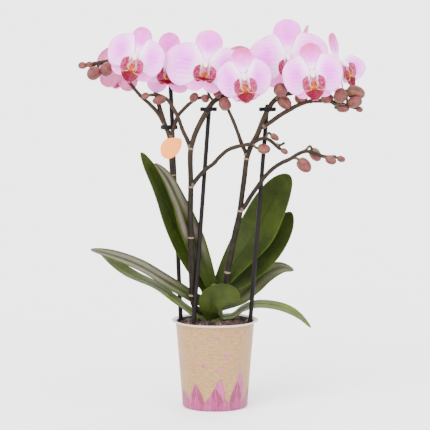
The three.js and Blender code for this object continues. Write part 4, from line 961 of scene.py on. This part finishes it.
def leaf(form, rng):
    """A leaf: midrib + side v reach + upper (fold reach v^2 - groove + waves), u along, v across.

    The groove is a bell 1.2 mm wide down the middle, and the waves grow with |v|^3. The blade is
    1.9 mm thick at the midrib and 0.6 mm at its rim.
    """
    path = Path(form["midrib"])
    across = np.array(form["across"], float)
    steps = np.linspace(0, 1, len(across))
    u = spread(96, 0.7)
    v = np.sin(np.linspace(-np.pi / 2, np.pi / 2, 29))
    heading = path.heading(u)
    side = np.stack([np.interp(u, steps, across[:, k]) for k in range(3)], axis=-1)
    side = unit(side - heading * (side * heading).sum(axis=1, keepdims=True))
    upper = np.cross(heading, side)
    reach = np.maximum(form["half"] * leaf_outline(u, form["foot"]), 0.25)
    phase = rng.uniform(0, 6, 3)

    def middle(uu, vv):
        wide = reach[:, None]
        lift = form["fold"] * wide * vv**2 - 0.55 * bump(vv * wide, 0, 1.2) * (1 - uu**4)
        ripple = np.sin(9 * uu + phase[0] + np.sign(vv)) + 0.6 * np.sin(17 * uu + phase[1] - np.sign(vv))
        lift = lift + form["wave"] * ripple * np.abs(vv) ** 3 * np.sin(np.pi * np.clip(uu, 0, 1))
        sway = 0.35 * np.sin(7 * uu + phase[2])
        return (path.at(u)[:, None] + side[:, None] * (vv * wide + sway)[..., None]
                + upper[:, None] * lift[..., None])

    def thickness(uu, vv):
        return (0.6 + 1.3 * (1 - vv**2)) * (1 - 0.5 * uu**6)

    body = Body()
    rings, place = two_faced(middle, u, v, thickness)
    body.add(rings, place, form["light"])
    return body


# ---- blooms ----------------------------------------------------------------------------------
# In a bloom's own frame x is to its right as seen from the front, y to its upper sepal and z
# forward. turn is the heading of its face away from the front, pitch lifts it and roll turns it
# clockwise, in degrees. span is the length of a petal, top that of the upper sepal, cup how far the
# petals fold forward, lift how far they point up and low the angle of the lower sepals, in degrees.
BLOOM_FIELDS = (
    "at", "turn", "pitch", "roll", "span", "top", "cup", "lift", "broad", "crest", "low", "tip", "dusky_tip_and_shade",
)
# The last column darkens the tip of the upper sepal to a dusky pink: partly its own colour, partly
# painted shade.
BLOOM_ROWS = [
    ((-97, 24, 356), 190, 0, -12, 26, 31, 0, -3, (0.6, 0.7), 0.42, -60, 0, 0),
    ((-80, -24, 365.5), -4, 0, 17, 30, 29.5, 3, 10, (0.6, 0.66), 0.36, -50, 0, 0.5),
    ((-47.5, 1.5, 355), 0, 0, 2, 29, 33, 0, 0, (0.6, 0.7), 0.35, -58, 56, 0.5),
    ((-9, -18, 358), 0, 0, 8, 42, 33, 0, 3, (0.42, 0.68), 0.43, -66, 62, 0),
    ((29, -42, 346), 3, 0, -5, 28.5, 27, 3, -5, (0.6, 0.7), 0.44, -64, 0, 1),
    ((75, -20, 364.5), 0, 0, -4, 41, 37.5, 0, 7, (0.52, 0.68), 0.4, -50, 55, 0),
    ((98, -44, 349), 0, 0, -6, 31, 29.5, 3, 1, (0.6, 0.7), 0.4, -58, 0, 1),
    ((128.5, 5, 357), 60, 5, -16, 38, 32, 30, -28, (0.3, 0.4), 0.3, -50, 0, 1),
    ((88, 28, 361), 105, -20, 0, 20, 35, 0, -3, (0.5, 0.55), 0.22, -50, 0, 0),
    ((25, 16, 343.5), 175, 0, -3, 31, 30.5, 0, -3, (0.6, 0.7), 0.48, -50, 0, 0),
]
BLOOMS = [dict(zip(BLOOM_FIELDS, row)) for row in BLOOM_ROWS]
FOLD_FROM, ROOT = 5.0, 2.6
LOBE_ROOT = (-15.5, 6.5)  # y and z of the line that a lip's front lobe swings about


def bloom_frame(bloom):
    """A bloom's own right, up and forward directions as rows."""
    heading, pitch, roll = (math.radians(bloom[k]) for k in ("turn", "pitch", "roll"))
    level = np.array([math.cos(heading), math.sin(heading), 0])
    forward = np.array([math.sin(heading) * math.cos(pitch), -math.cos(heading) * math.cos(pitch),
                        math.sin(pitch)])
    upright = np.cross(forward, level)
    up = upright * math.cos(roll) + level * math.sin(roll)
    right = level * math.cos(roll) - upright * math.sin(roll)
    return np.array([right, up, forward])


def petal_outline(u, claw, belly, rise, taper):
    """Half width as a share: from claw to 1 by a power of a sine until the belly, then the end
    sqrt(1 - w^taper), w running from 0 at the belly to 1 at the tip."""
    rising = blend(claw, 1, np.sin(np.pi / 2 * np.clip(u / belly, 0, 1)) ** rise)
    late = np.clip((u - belly) / (1 - belly), 0, 1)
    return np.where(u < belly, rising, np.sqrt(1 - late**taper))


def petal(rng, angle, length, sides, depth, fold=0.0, mirror=1, wave=0.6, ruffle=0.022):
    """Rings of a petal or sepal: it leaves the hub at an angle in the bloom's plane.

    sides holds the widest half width and the claw, belly, rise and taper of its outline, above
    and below its middle. far = root + (length - root) u, across = v half outline(u),
    z = depth - 0.06 length u^2 - 0.1 half v^2 + waves that grow to the rim - a groove down the
    middle. Slow sines draw the rim in by up to twice the ruffle. Beyond 5 mm from the bloom's
    upright axis the petal folds forward.
    """
    a, forward_fold = math.radians(angle), math.radians(fold)
    phase = rng.uniform(0, 6, 4)

    def middle(uu, vv):
        v = vv * mirror
        above, below = (half * petal_outline(uu, *form) for half, *form in sides)
        drawn_in = ruffle * uu * (1 + np.sin(9 * uu + phase[3] + 2 * np.sign(vv)))
        reach = np.where(v > 0, above, below) * (1 - drawn_in)
        far = ROOT + (length - ROOT) * uu
        x = far * math.cos(a) - v * reach * math.sin(a)
        y = far * math.sin(a) + v * reach * math.cos(a)
        z = depth - uu**2 * length * 0.06 - v**2 * reach * 0.1
        z = z - 0.35 * bump(v * reach, 0, 0.7) * (1 - uu)
        z = z + 0.25 * np.sin(6 * v + phase[0]) * uu * (1 - v**2)
        rim = np.clip(0.55 * uu**3 + np.abs(v) ** 3 * uu, 0, 1)
        z = z + wave * rim * (np.sin(5.2 * v + phase[1]) + 0.6 * np.sin(11 * uu + 2 * v + phase[2]))
        outward = np.maximum(np.abs(x) - FOLD_FROM, 0)
        z = z + outward * math.sin(forward_fold)
        x = (x - np.sign(x) * outward * (1 - math.cos(forward_fold))) * mirror
        return np.stack([x, y, z], axis=-1)

    def thickness(uu, vv):
        return 0.28 + 0.5 * (1 - uu) ** 1.5 * (1 - vv**2) + 0.15 * (1 - vv**4)

    return two_faced(middle, spread(44, 0.8), np.sin(np.linspace(-np.pi / 2, np.pi / 2, 33)), thickness)


def placed(rings, bloom):
    """Rings from a bloom's own frame to the pot's."""
    return rings @ bloom_frame(bloom) + np.array(bloom["at"], float)


def bloom_petals(bloom, rng):
    """Two broad petals over three sepals. tint is 0 on petals, 2 below and 1 to 1.4 on the upper
    sepal, the higher the darker the dusky pink over its tip, partly its own colour and partly painted
    shade."""
    span, top, lift = bloom["span"], bloom["top"], bloom["lift"]
    above, below = bloom["broad"]
    crest = top * bloom["crest"]
    wide = dict(length=span - 0.6, depth=0.9, fold=bloom["cup"], angle=lift,
                sides=((span * above, 0.14, 0.38, 1.2, 1.5), (span * below, 0.14, 0.56, 0.6, 1.8)))
    upper = dict(length=top, depth=-1.3, angle=90, sides=((crest, 0.16, 0.58, 0.95, 2.3),) * 2, wave=0.35)
    narrow = (top * 0.33, 0.16, 0.6, 1.2, 2.2)
    lower = dict(length=top - 0.8, depth=-1.3, angle=bloom["low"], sides=(narrow, narrow), wave=0.4)
    body = Body()
    forms = [(wide, 0), (upper, 1 + 0.4 * bloom["dusky_tip_and_shade"]), (lower, 2)]
    forms += [(dict(form, mirror=-1), kind) for form, kind in forms if form is not upper]
    for form, kind in forms:
        rings, place = petal(rng, **form)
        body.add(placed(rings, bloom), place, kind)
    return body


def bloom_column(bloom):
    """The hub behind the petals, and the column: a bent stem that swells to a rounded hood."""
    body = Body()
    hub = ball_directions(*ball_angles(14, 24)) * np.array([3.2, 3.2, 2.7])
    body.add(placed(hub, bloom))
    t = spread(26, 0.6)
    radius = np.interp(t, [0, 0.3, 0.65, 0.85, 0.95, 1], [2.2, 2.4, 2.45, 2.1, 1.4, 0.3])
    column = tube(Path([(0, 1, 1), (0, -0.4, 4.4), (0, -2.4, 6.6), (0, -4.8, 8.6)]), t, radius, 24)
    body.add(placed(column, bloom), lengthwise(t, 24))
    return body


def side_lobe(mirror):
    """Rings of a side lobe: a crescent line with an upturned, cupped blade across it.

    The blade is 1.3 to 4.2 mm to each side of the line and leans outwards and forwards, and its
    edges curl: z + 0.55 reach + 0.7 v^2.
    """
    line = Path([(1.6, -16.4, 5.2), (5.4, -17.6, 6.4), (8, -14.4, 7.4), (7.9, -8, 7.9), (5.4, -3, 7.2)])
    knots, widths = [0, 0.25, 0.5, 0.8, 1], [1.3, 3.2, 4.2, 4.0, 0.9]

    def middle(uu, vv):
        v = vv * mirror
        centre = line.at(uu)
        reach = np.interp(uu, knots, widths) * v
        out = unit(centre[..., :2] - np.array([2.5, -9]))
        x = (centre[..., 0] + out[..., 0] * reach * 0.82) * mirror
        y = centre[..., 1] + out[..., 1] * reach * 0.82
        z = centre[..., 2] + 0.55 * reach + 0.7 * v**2
        return np.stack([x, y, z], axis=-1)

    u, v = np.linspace(0, 1, 30), np.linspace(-1, 1, 15)
    rings, place = two_faced(middle, u, v, lambda uu, vv: 0.5 + 0 * uu)
    place = place * np.array([1, mirror, 1])
    return rings, place


def swung(points, tip, mirror=1):
    """Points of the front lobe and what it carries, swung forward about its root, on one side."""
    swing = math.radians(tip)
    x, y, z = np.moveaxis(np.array(points, float), -1, 0)
    y, z = y - LOBE_ROOT[0], z - LOBE_ROOT[1]
    return np.stack([x * mirror, LOBE_ROOT[0] + y * math.cos(swing) + z * math.sin(swing),
                     LOBE_ROOT[1] - y * math.sin(swing) + z * math.cos(swing)], axis=-1)


def front_lobe(tip):
    """Rings of the front lobe: an arrowhead, widest at its shoulders, keeled down its middle.

    Its half widths at the drops below are joined by straight lines, and z = 7.4 + 2.2 u + 0.1 |x|.
    tip is how far it then swings forward about its root, in degrees.
    """
    share = np.array([0, 0.12, 0.24, 0.5, 0.75, 0.92, 1])
    half = np.array([2.6, 7.4, 9.4, 7.5, 4.9, 2.2, 0.3])
    drop = np.array([-17.4, -18.8, -20, -22.8, -25.4, -26.9, -27.6])

    def middle(uu, vv):
        x = np.interp(uu, share, half) * vv
        y = np.interp(uu, share, drop) + 0.06 * np.abs(x)
        z = 7.4 + 2.2 * uu + 0.1 * np.abs(x) - 0.5 * bump(x, 0, 0.8) + 0.8 * uu * vv**2
        return swung(np.stack([x, y, z], axis=-1), tip)

    u, v = np.linspace(0, 1, 30), np.linspace(-1, 1, 19)
    return two_faced(middle, u, v, lambda uu, vv: 0.55 - 0.2 * vv**2)


def bloom_lip(bloom):
    """The lip: side lobes, front lobe, knobbed callus, pale teeth and horns, and two tip threads."""
    body = Body()
    tip = bloom["tip"]
    for mirror in (1, -1):
        rings, place = side_lobe(mirror)
        body.add(placed(rings, bloom), place, 0)
    rings, place = front_lobe(tip)
    body.add(placed(rings, bloom), place, 1)
    t = np.linspace(0, 1, 34)
    angle = np.linspace(0, 2 * np.pi, 24, endpoint=False)
    swell = np.interp(t, [0, 0.35, 0.6, 0.8, 0.93, 1], [1.2, 1.9, 3.4, 4.6, 4.0, 0.6])
    knobs = 1 + 0.2 * np.sin(5 * angle)[None, :] * smooth_step(0.45, 0.85, t)[:, None]
    spine = Path([(0, -3.75, 1.7), (0, -9, 3.8), (0, -13.2, 5.8), (0, -16.2, 9)])
    callus = tube(spine, t, swell[:, None] * knobs, 24)
    body.add(placed(callus, bloom), lengthwise(t, 24), tint=2)
    teeth = [(2.4, -15, 9.6), (3.9, -11.4, 10.2), (3.6, -8.2, 9.8), (2.6, -6, 9)]
    horns = [(2.4, -16.2, 9), (6, -17.4, 9.7), (10.2, -17, 10.7)]
    knobs_up = [(0.9, -14, 9.2), (1.9, -12.2, 10.2), (2, -10.6, 10.4)]
    curls = [(0.5, -27, 9.6), (2.2, -27.7, 10), (4.2, -26.8, 10.3), (4.8, -25.4, 10)]
    for mirror in (1, -1):
        threads = [
            (swung(teeth, 0, mirror), (0.6, 0.3), 3),
            (swung(horns, 0, mirror), (0.5, 0.15), 3),
            (swung(knobs_up, 0, mirror), (1.0, 0.35), 2),
            (swung(curls, tip, mirror), (0.4, 0.14), 4),
        ]
        for points, (first, last), kind in threads:
            path = Path(points)
            s = np.linspace(0, 1, 14)
            rings = tube(path, s, blend(first, last, s**1.3), 8)
            body.add(placed(rings, bloom), lengthwise(s, 8), kind)
    return body


# ---- flower spikes ---------------------------------------------------------------------------
# A spike is its stems, its buds and its blooms' stalks. A stem is the radius at its start and at its
# end, and its points. A bud is its middle, where its stalk leaves the stem, what the stalk passes,
# its length and its radius. A bloom's stalk is the bloom's index, where it leaves the stem, and what
# it passes on its way to the back of the hub.
SPIKES = {
    "spike-left": ([
        (3, 2.2, [
            (-5, 8, 104), (-12, 12, 121), (-19.5, 13, 149), (-26.7, 11, 178), (-33, 6, 203),
            (-38.4, 1.8, 220), (-43, 1.4, 236), (-45, 2.6, 258), (-47, 3, 281), (-51.6, 3.5, 293.4),
            (-56, 4.5, 307), (-58.5, 7, 316), (-62, 11, 328), (-68, 13, 340), (-78, 13.5, 350),
            (-90, 12, 356), (-104, 9, 358.3), (-117, 5, 357), (-127, 3, 355.3), (-133, 2, 354.6),
        ]),
        (2.2, 1.7, [
            (-51, 3.5, 291.5), (-58.9, 4, 305.3), (-67.8, 5, 315), (-75.7, 6, 321.8),
            (-83.6, 9, 330.6), (-89, 12, 337),
        ]),
        (2.2, 1.7, [
            (-46.8, 3, 279), (-44.6, 2, 285), (-41.7, 1.6, 292.5), (-38.4, 1.6, 302),
            (-32.3, 1.6, 309.3), (-24.4, 1, 316.6), (-18.2, 0, 320.5), (-13, -1, 321.5),
        ]),
    ], [
        ((-136.4, 1, 354.3), (-131, 2, 354.8), None, 8.4, 3.9),
        ((-129.2, 0.5, 355.4), (-125, 3, 355.5), None, 7, 3.1),
        ((-124.3, -4, 346.4), (-118, 5, 356.5), None, 15.5, 6.6),
        ((-111, -3, 350.6), (-107, 8.4, 357.6), None, 17, 7),
        ((-21.5, -2.5, 322), (-25, 1, 316.2), None, 11, 4.2),
        ((-9.8, -7.5, 321), (-14, -0.8, 321.3), None, 9.4, 4.2),
    ], [
        (0, (-88, 11.4, 336), [(-92, 12, 345)]),
        (1, (-84, 13, 353.4), [(-84, 4, 359)]),
        (2, (-62, 11, 328), [(-56, 12, 336)]),
    ]),
    "spike-middle": ([
        (3.1, 2.6, [
            (-8, -6, 99.5), (-14, -8.5, 100.5), (-20.6, -10.2, 105.5), (-23.3, -9.8, 113),
            (-23.8, -10.4, 124), (-24.2, -13.2, 150), (-24.8, -13.5, 180), (-25.2, -12.5, 207),
            (-24.8, -10.5, 233), (-25.1, -9, 267), (-22.9, -8, 276.5), (-20.4, -7.5, 284.3),
            (-15.5, -5.5, 294.9), (-10.6, -4.1, 303.7), (-6.2, -2.6, 311.2), (-1.1, -1, 317.6),
            (6.2, 0, 321.6), (14.5, 1, 324.4), (24, 2, 330), (32, 3, 334.5),
        ]),
        (2.2, 1.7, [
            (-25, -8.5, 269), (-28, -8, 277.5), (-33.1, -7, 288.2), (-38.1, -6.5, 301.9),
            (-44, -6.5, 312.8), (-49.8, -7, 320.6), (-58, -6, 324.3), (-66, -7, 324.5),
        ]),
        (2.3, 1.8, [
            (-25, -10.6, 230), (-22.3, -11, 233.5), (-16.2, -10.5, 241.5), (-8.4, -10.5, 249.2),
            (-1.8, -11, 253.9), (4.7, -12.5, 261.2), (13.2, -15, 268.6), (21.7, -17, 272),
            (30.8, -17.6, 274), (38.5, -17.4, 275.7), (44.1, -17, 279), (50.5, -16, 280.8),
            (56.1, -15, 278.5), (62.4, -14, 273.3), (66.5, -13, 269.6),
        ]),
        (1.5, 1.3, [
            (61, -14.2, 274.6), (66.5, -14, 273.6), (71.5, -14, 276),
        ]),
    ], [
        ((-57, -8, 319.4), (-50.5, -7, 321), None, 14.5, 5),
        ((-71.4, -7, 323.7), (-65, -7, 324.5), None, 8, 3.6),
        ((2, -7.5, 325.6), (4.6, -0.4, 321), None, 9.6, 4.2),
        ((50, -20, 270.2), (38, -17.4, 275.6), (42, -19.5, 271.2), 13.4, 5.6),
        ((61, -17, 281.9), (52, -15.8, 280.6), (54.6, -16.5, 286.4), 10, 3.5),
        ((71.2, -12.6, 267), (65.8, -13.2, 270.2), None, 8.2, 3.1),
    ], [
        (3, (-1.1, -1, 317.6), [(-6.5, -4, 325)]),
        (4, (24.5, 2, 330.2), [(27, -12, 329), (28.5, -27, 335)]),
        (9, (31.4, 3, 334.2), []),
    ]),
    "spike-right": ([
        (3.3, 2.3, [
            (6, 3, 107), (9, 0, 117), (11.2, -4, 126.5), (12.9, -6, 141.6), (16.4, -8, 160.5),
            (21, -9.5, 183.2), (25.2, -11, 201.8), (27.5, -12.5, 220.4), (30.1, -12.5, 240),
            (32.7, -11.8, 260), (37.2, -11.6, 272.9), (42.4, -12, 282.1), (45.2, -12.4, 288.7),
            (49.4, -12.8, 299.7), (53.6, -13, 309), (56.6, -12.8, 314), (61.5, -11, 319.8),
            (68.9, -8, 324.5), (79.2, -4, 326.4), (89.6, -1, 329.6), (101.9, 1, 336.5),
            (114, 1.5, 343), (121, 2, 346.5),
        ]),
        (2.2, 1.7, [
            (33, -11.6, 261), (30.7, -11.4, 267.3), (27.5, -11, 274.2), (22.9, -10, 287.2),
            (18, -9.5, 299.7), (13.5, -9.5, 309.5),
        ]),
        (2.5, 1.9, [
            (47.4, -12.8, 291.6), (51.9, -14, 293.8), (57.9, -14, 297.9), (67, -14, 304.4),
            (77, -14, 310.3), (86.1, -13.6, 314.9), (95.3, -13, 318), (108.1, -12.6, 318.8),
            (121.8, -12, 317.4), (135.4, -12, 314), (144, -12, 311.4),
        ]),
        (2.4, 1.8, [
            (26, -11.4, 206), (30.1, -13.5, 210), (37.3, -15.5, 221.9), (43.8, -16.5, 231.3),
            (51.5, -16, 241.8), (59.4, -14.5, 249.5), (68.6, -13, 255.4), (76.5, -12, 258.8),
            (85.6, -11, 264.4), (93.6, -10, 266.9), (102.7, -10, 264.6), (111.9, -10, 261.4),
            (124, -10, 261.2),
        ]),
    ], [
        ((10, -11.5, 315.6), (13.8, -9.5, 308.8), None, 14.5, 6.2),
        ((66.7, -27.5, 331), (62, -11, 320), (63.5, -19, 322), 15, 6.8),
        ((71, -15, 317.4), (68, -8.4, 324), (66, -13.6, 322), 16.5, 6.2),
        ((88.3, -9, 320.6), (81, -3.6, 326.8), None, 14.5, 6),
        ((114.5, -18, 321.6), (106.5, -12.6, 318.8), None, 13.4, 5.2),
        ((127.2, -29, 325.2), (117, -12.2, 318), (124.5, -26.5, 315), 16, 6.3),
        ((130.6, -16.5, 311.4), (124.5, -12, 317), (122.8, -15.5, 311.8), 13.4, 4.7),
        ((143.8, -13, 327.2), (135.4, -12, 314), (134.4, -14, 330), 19.5, 7.8),
        ((142.6, -21, 318), (133.4, -12, 314.6), (134.5, -17, 315.5), 15, 6.1),
        ((147.8, -12, 310), (142, -12, 311.9), None, 7.6, 3.2),
        ((91.3, -15, 252.9), (79, -11.8, 260), (84.5, -13, 259.5), 17.2, 6.5),
        ((103.4, -2, 262.6), (92, -10, 266.8), (97.5, -6.5, 272), 16, 5.8),
        ((118.8, -12.5, 258), (110, -10, 261.9), None, 12, 4.8),
        ((129.6, -10, 258.9), (122, -10, 261.2), None, 8.8, 3.6),
    ], [
        (5, (68, -8.4, 324.2), [(71, -5, 338)]),
        (6, (103.5, 1, 337.6), [(109, -15, 329.5), (104, -33, 336)]),
        (7, (119.5, 1.8, 345.8), [(121, 6, 352)]),
        (8, (82, -3.4, 327), [(75, 9, 337), (72, 20, 351)]),
    ]),
}

BUD_STALK, BLOOM_STALK = 1.25, 1.4  # radii of the short stalks under a bud and a bloom
# Heights of the pale rings at the nodes of each main stem.
NODE_RINGS = {
    "spike-left": (150, 196, 240, 277),
    "spike-middle": (116.5, 177.5, 229, 268),
    "spike-right": (140, 205, 258.5),
}


def stem_radius(t, first, last, rng):
    """The taper of a stem with three slow swellings."""
    phase = rng.uniform(0, 6, 2)
    swell = 0.035 * np.sin(14 * t + phase[0]) + 0.02 * np.sin(41 * t + phase[1])
    return blend(first, last, t) * (1 + swell)


def sheath(path, share, radius, length, rng, flare=0.35):
    """A dry scale round a stem: a short tube whose upper edge rises to a point on one side.

    Its points lie length s (0.45 + 0.55 cos^2((a - a0) / 2)) along the stem, s from 0 to 1.
    """
    s = np.linspace(0, 1, 9)
    angle = np.linspace(0, 2 * np.pi, 18, endpoint=False)
    start = rng.uniform(0, 2 * np.pi)
    swell = radius + flare * np.sin(np.pi * np.clip(s * 0.85 + 0.05, 0, 1)) ** 0.7
    swell[0] = radius * 0.9
    rings = tube(path, np.clip(share + s * length / path.length, 0, 0.999), swell, 18)
    heading = path.heading(np.array([min(share, 0.99)]))[0]
    reach = 0.3 + 0.7 * np.cos((angle - start) / 2) ** 2
    rings += heading * ((reach - 0.6) * s[:, None] * length * 0.6)[..., None]
    return rings


def egg(base, tip, radius, rng):
    """A bud's egg from base to tip, and the distance of each point from the nearest seam.

    The radius is sqrt(1 - |2 s^0.92 - 1|^n) of its widest, n 2.6 up to the belly and 2.1 beyond it,
    a little flat, pinched by 6% along three seams.
    """
    s = 1 - (1 - np.linspace(0, 1, 26)) ** 1.2
    columns = 36
    turn = rng.uniform(0, 2 * np.pi)
    angle = np.linspace(0, 2 * np.pi, columns, endpoint=False)
    seam = ((3 * (angle + turn) / (2 * np.pi)) % 1 - 0.5) * 2
    away = 1 - np.abs(seam)
    w = 2 * s**0.92 - 1
    profile = radius * np.sqrt(np.clip(1 - np.abs(w) ** np.where(w < 0, 2.6, 2.1), 0.004, 1))
    pinch = 1 - 0.06 * np.exp(-((away / 0.22) ** 2))
    oval = 1 + 0.07 * np.cos(2 * angle)
    line = Path([base, (np.array(base) + np.array(tip)) / 2, tip])
    rings = tube(line, s, profile[:, None] * (pinch * oval)[None, :], columns)
    along = np.broadcast_to(s[:, None], (26, columns))
    return rings, np.stack([along, np.broadcast_to(away, along.shape), 0 * along], axis=-1)


def start_on(paths, point):
    """Where a stalk leaves its stem: the nearest place on the middle lines of the stems."""
    found = [path.nearest(point)[0] for path in paths]
    return min(found, key=lambda place: np.linalg.norm(place - np.array(point, float)))


def spike(name, rng):
    """A spike as two bodies: its stems with their rings and scales, and its buds with stalks."""
    stems, bud_rows, stalks = SPIKES[name]
    wood, buds = Body(), Body()
    paths = [Path(points) for _, _, points in stems]
    for path, (first, last, _) in zip(paths, stems):
        t = np.linspace(0, 1, max(20, int(path.length / 1.6)))
        wood.add(tube(path, t, stem_radius(t, first, last, rng), 18), lengthwise(t, 18))
    main, (first, last, _) = paths[0], stems[0]
    for height in NODE_RINGS[name]:
        _, share = main.nearest(spike_at(name, height))
        wood.add(sheath(main, share, blend(first, last, share) + 0.08, 1.9, rng, 0.2), tint=0.9)
    for path, (first, last, _) in zip(paths[1:], stems[1:]):
        wood.add(sheath(path, 2.0 / path.length, first + 0.08, 2.4, rng, 0.2), tint=0.5)
        for share in np.arange(0.3, 0.95, max(0.24, 22 / path.length)):
            radius = blend(first, last, share) + 0.05
            wood.add(sheath(path, share, radius, 2.2, rng, 0.12), tint=0.3)
    for at, leaves_at, via, length, radius in bud_rows:
        start = start_on(paths, leaves_at)
        last = np.array(via or start, float)
        heading = unit(at - last)
        base, tip = at - heading * length / 2, at + heading * length / 2
        end = base + heading * 0.8
        stalk = Path([start, last, end] if via else [start, end])
        s = np.linspace(0, 1, 16)
        buds.add(tube(stalk, s, BUD_STALK + 0.2 * s**3, 12), tint=1)
        wood.add(sheath(stalk, 0.02, BUD_STALK + 0.1, 2.2, rng, 0.2), tint=0.45)
        rings, place = egg(base, tip, radius, rng)
        buds.add(rings, place, 0)
    for index, leaves_at, passed in stalks:
        ends = placed(np.array([(0, -0.6, -8.55), (0, 0, -2.5)]), BLOOMS[index])
        line = Path([start_on(paths, leaves_at), *passed, *ends])
        s = np.linspace(0, 1, 30)
        buds.add(tube(line, s, BLOOM_STALK + 0.1 * s**2, 12), tint=1)
        wood.add(sheath(line, 0.01, BLOOM_STALK + 0.1, 2.4, rng, 0.2), tint=0.45)
    return wood, buds


# ---- the whole plant -------------------------------------------------------------------------

def dress_plant():
    """Makes every piece and lets it stand for its solids."""
    rng = np.random.default_rng(20)
    dress(pot().piece("pot-printed", pot_finish(), sharp=50), "pot", "pot")
    dress(chips(rng).piece("potting-bark-chips", bark_finish(), sharp=60), "bark", "potting-bark")
    dress(crown().piece("crown-bases", crown_finish()), "crown", "crown")
    dark = plastic_finish("stake-plastic", "#100b0e", "#1b1417", 0.42, 40)
    black = plastic_finish("clip-plastic", "#0d0b0c", "#181516", 0.42, 900)
    for name in STAKES:
        dress(stake(name).piece(f"stake-{name}-rod", dark, sharp=70), "stake", f"stake-{name}")
        dress(clip(name).piece(f"clip-{name}-moulded", black, sharp=60), "clip", f"clip-{name}")
    dress(tag().piece("tag-card", card_finish(), sharp=60), "tag", "tag")
    green = {painted_sheen: leaf_finish(f"orchid-leaf-{painted_sheen:.1f}".replace(".", "-"), painted_sheen)
             for painted_sheen in (0, 0.5, 1)}
    for name, form in LEAVES.items():
        dress(leaf(form, rng).piece(f"{name}-blade", green[form["painted_sheen"]]), "leaf", name)
    bark_brown, rose = stem_finish(), bud_finish()
    for name in SPIKES:
        wood, buds = spike(name, rng)
        dress(wood.piece(f"{name}-stems", bark_brown), "spike", name)
        dress(buds.piece(f"{name}-buds", rose), "spike", name)
    petals, column, lip = petal_finish(), column_finish(), lip_finish()
    for number, bloom in enumerate(BLOOMS, 1):
        node = f"bloom-{number:02d}"
        dress(bloom_petals(bloom, rng).piece(f"{node}-petals", petals), "petal", node)
        dress(bloom_column(bloom).piece(f"{node}-column", column), "petal", node)
        dress(bloom_lip(bloom).piece(f"lip-{number:02d}-lobes", lip), "lip", f"lip-{number:02d}")


# ---- camera, floor and light -----------------------------------------------------------------
TARGET = (0.0, 0.0, 0.2)
CAMERA_DISTANCE, CAMERA_RISE = 2.2, 6.3
PICTURE_WIDTH = 0.4446  # metres across the picture at the target
SENSOR = 36.0
FLOOR_HALF, FLOOR_DROP = 60.0, 0.0002


def looking_at(thing, place, target):
    """Puts a camera or a light at a place with its -Z towards a target."""
    thing.location = place
    thing.rotation_euler = (Vector(target) - Vector(place)).to_track_quat("-Z", "Y").to_euler()
    bpy.context.scene.collection.objects.link(thing)
    return thing


def add_camera():
    lens = bpy.data.cameras.new("photo-camera")
    lens.sensor_width = SENSOR
    lens.lens = SENSOR * CAMERA_DISTANCE / PICTURE_WIDTH
    rise = math.radians(CAMERA_RISE)
    x, y, z = TARGET
    place = (x, y - CAMERA_DISTANCE * math.cos(rise), z + CAMERA_DISTANCE * math.sin(rise))
    bpy.context.scene.camera = looking_at(bpy.data.objects.new("photo-camera", lens), place, TARGET)


def add_floor():
    mesh = bpy.data.meshes.new("studio-floor")
    corners = [(-1, -1), (1, -1), (1, 1), (-1, 1)]
    mesh.from_pydata([(x * FLOOR_HALF, y * FLOOR_HALF, 0) for x, y in corners], [], [(0, 1, 2, 3)])
    mesh.materials.append(floor_finish())
    floor = bpy.data.objects.new("studio-floor", mesh)
    floor.location.z = -FLOOR_DROP
    bpy.context.scene.collection.objects.link(floor)


def add_light():
    """A pale world and three broad suns with very soft shadows: key, fill and one from behind."""
    suns = [
        ("key-sun", (-0.9, -1.5, 1.3), 50, 6.2),
        ("fill-sun", (1.4, -1.0, 0.8), 60, 2.4),
        ("back-sun", (0.3, 1.6, 1.5), 60, 2.5),
    ]
    for name, place, angle, power in suns:
        sun = bpy.data.lights.new(name, "SUN")
        sun.angle, sun.energy = math.radians(angle), power
        looking_at(bpy.data.objects.new(name, sun), place, (0, 0, 0))
    world = bpy.data.worlds.new("studio-world")
    world.use_nodes = True
    sky = world.node_tree.nodes["Background"]
    sky.inputs["Color"].default_value = (1.0, 1.0, 1.0, 1.0)
    sky.inputs["Strength"].default_value = 2.0
    bpy.context.scene.world = world


dress_plant()
add_camera()
add_floor()
add_light()
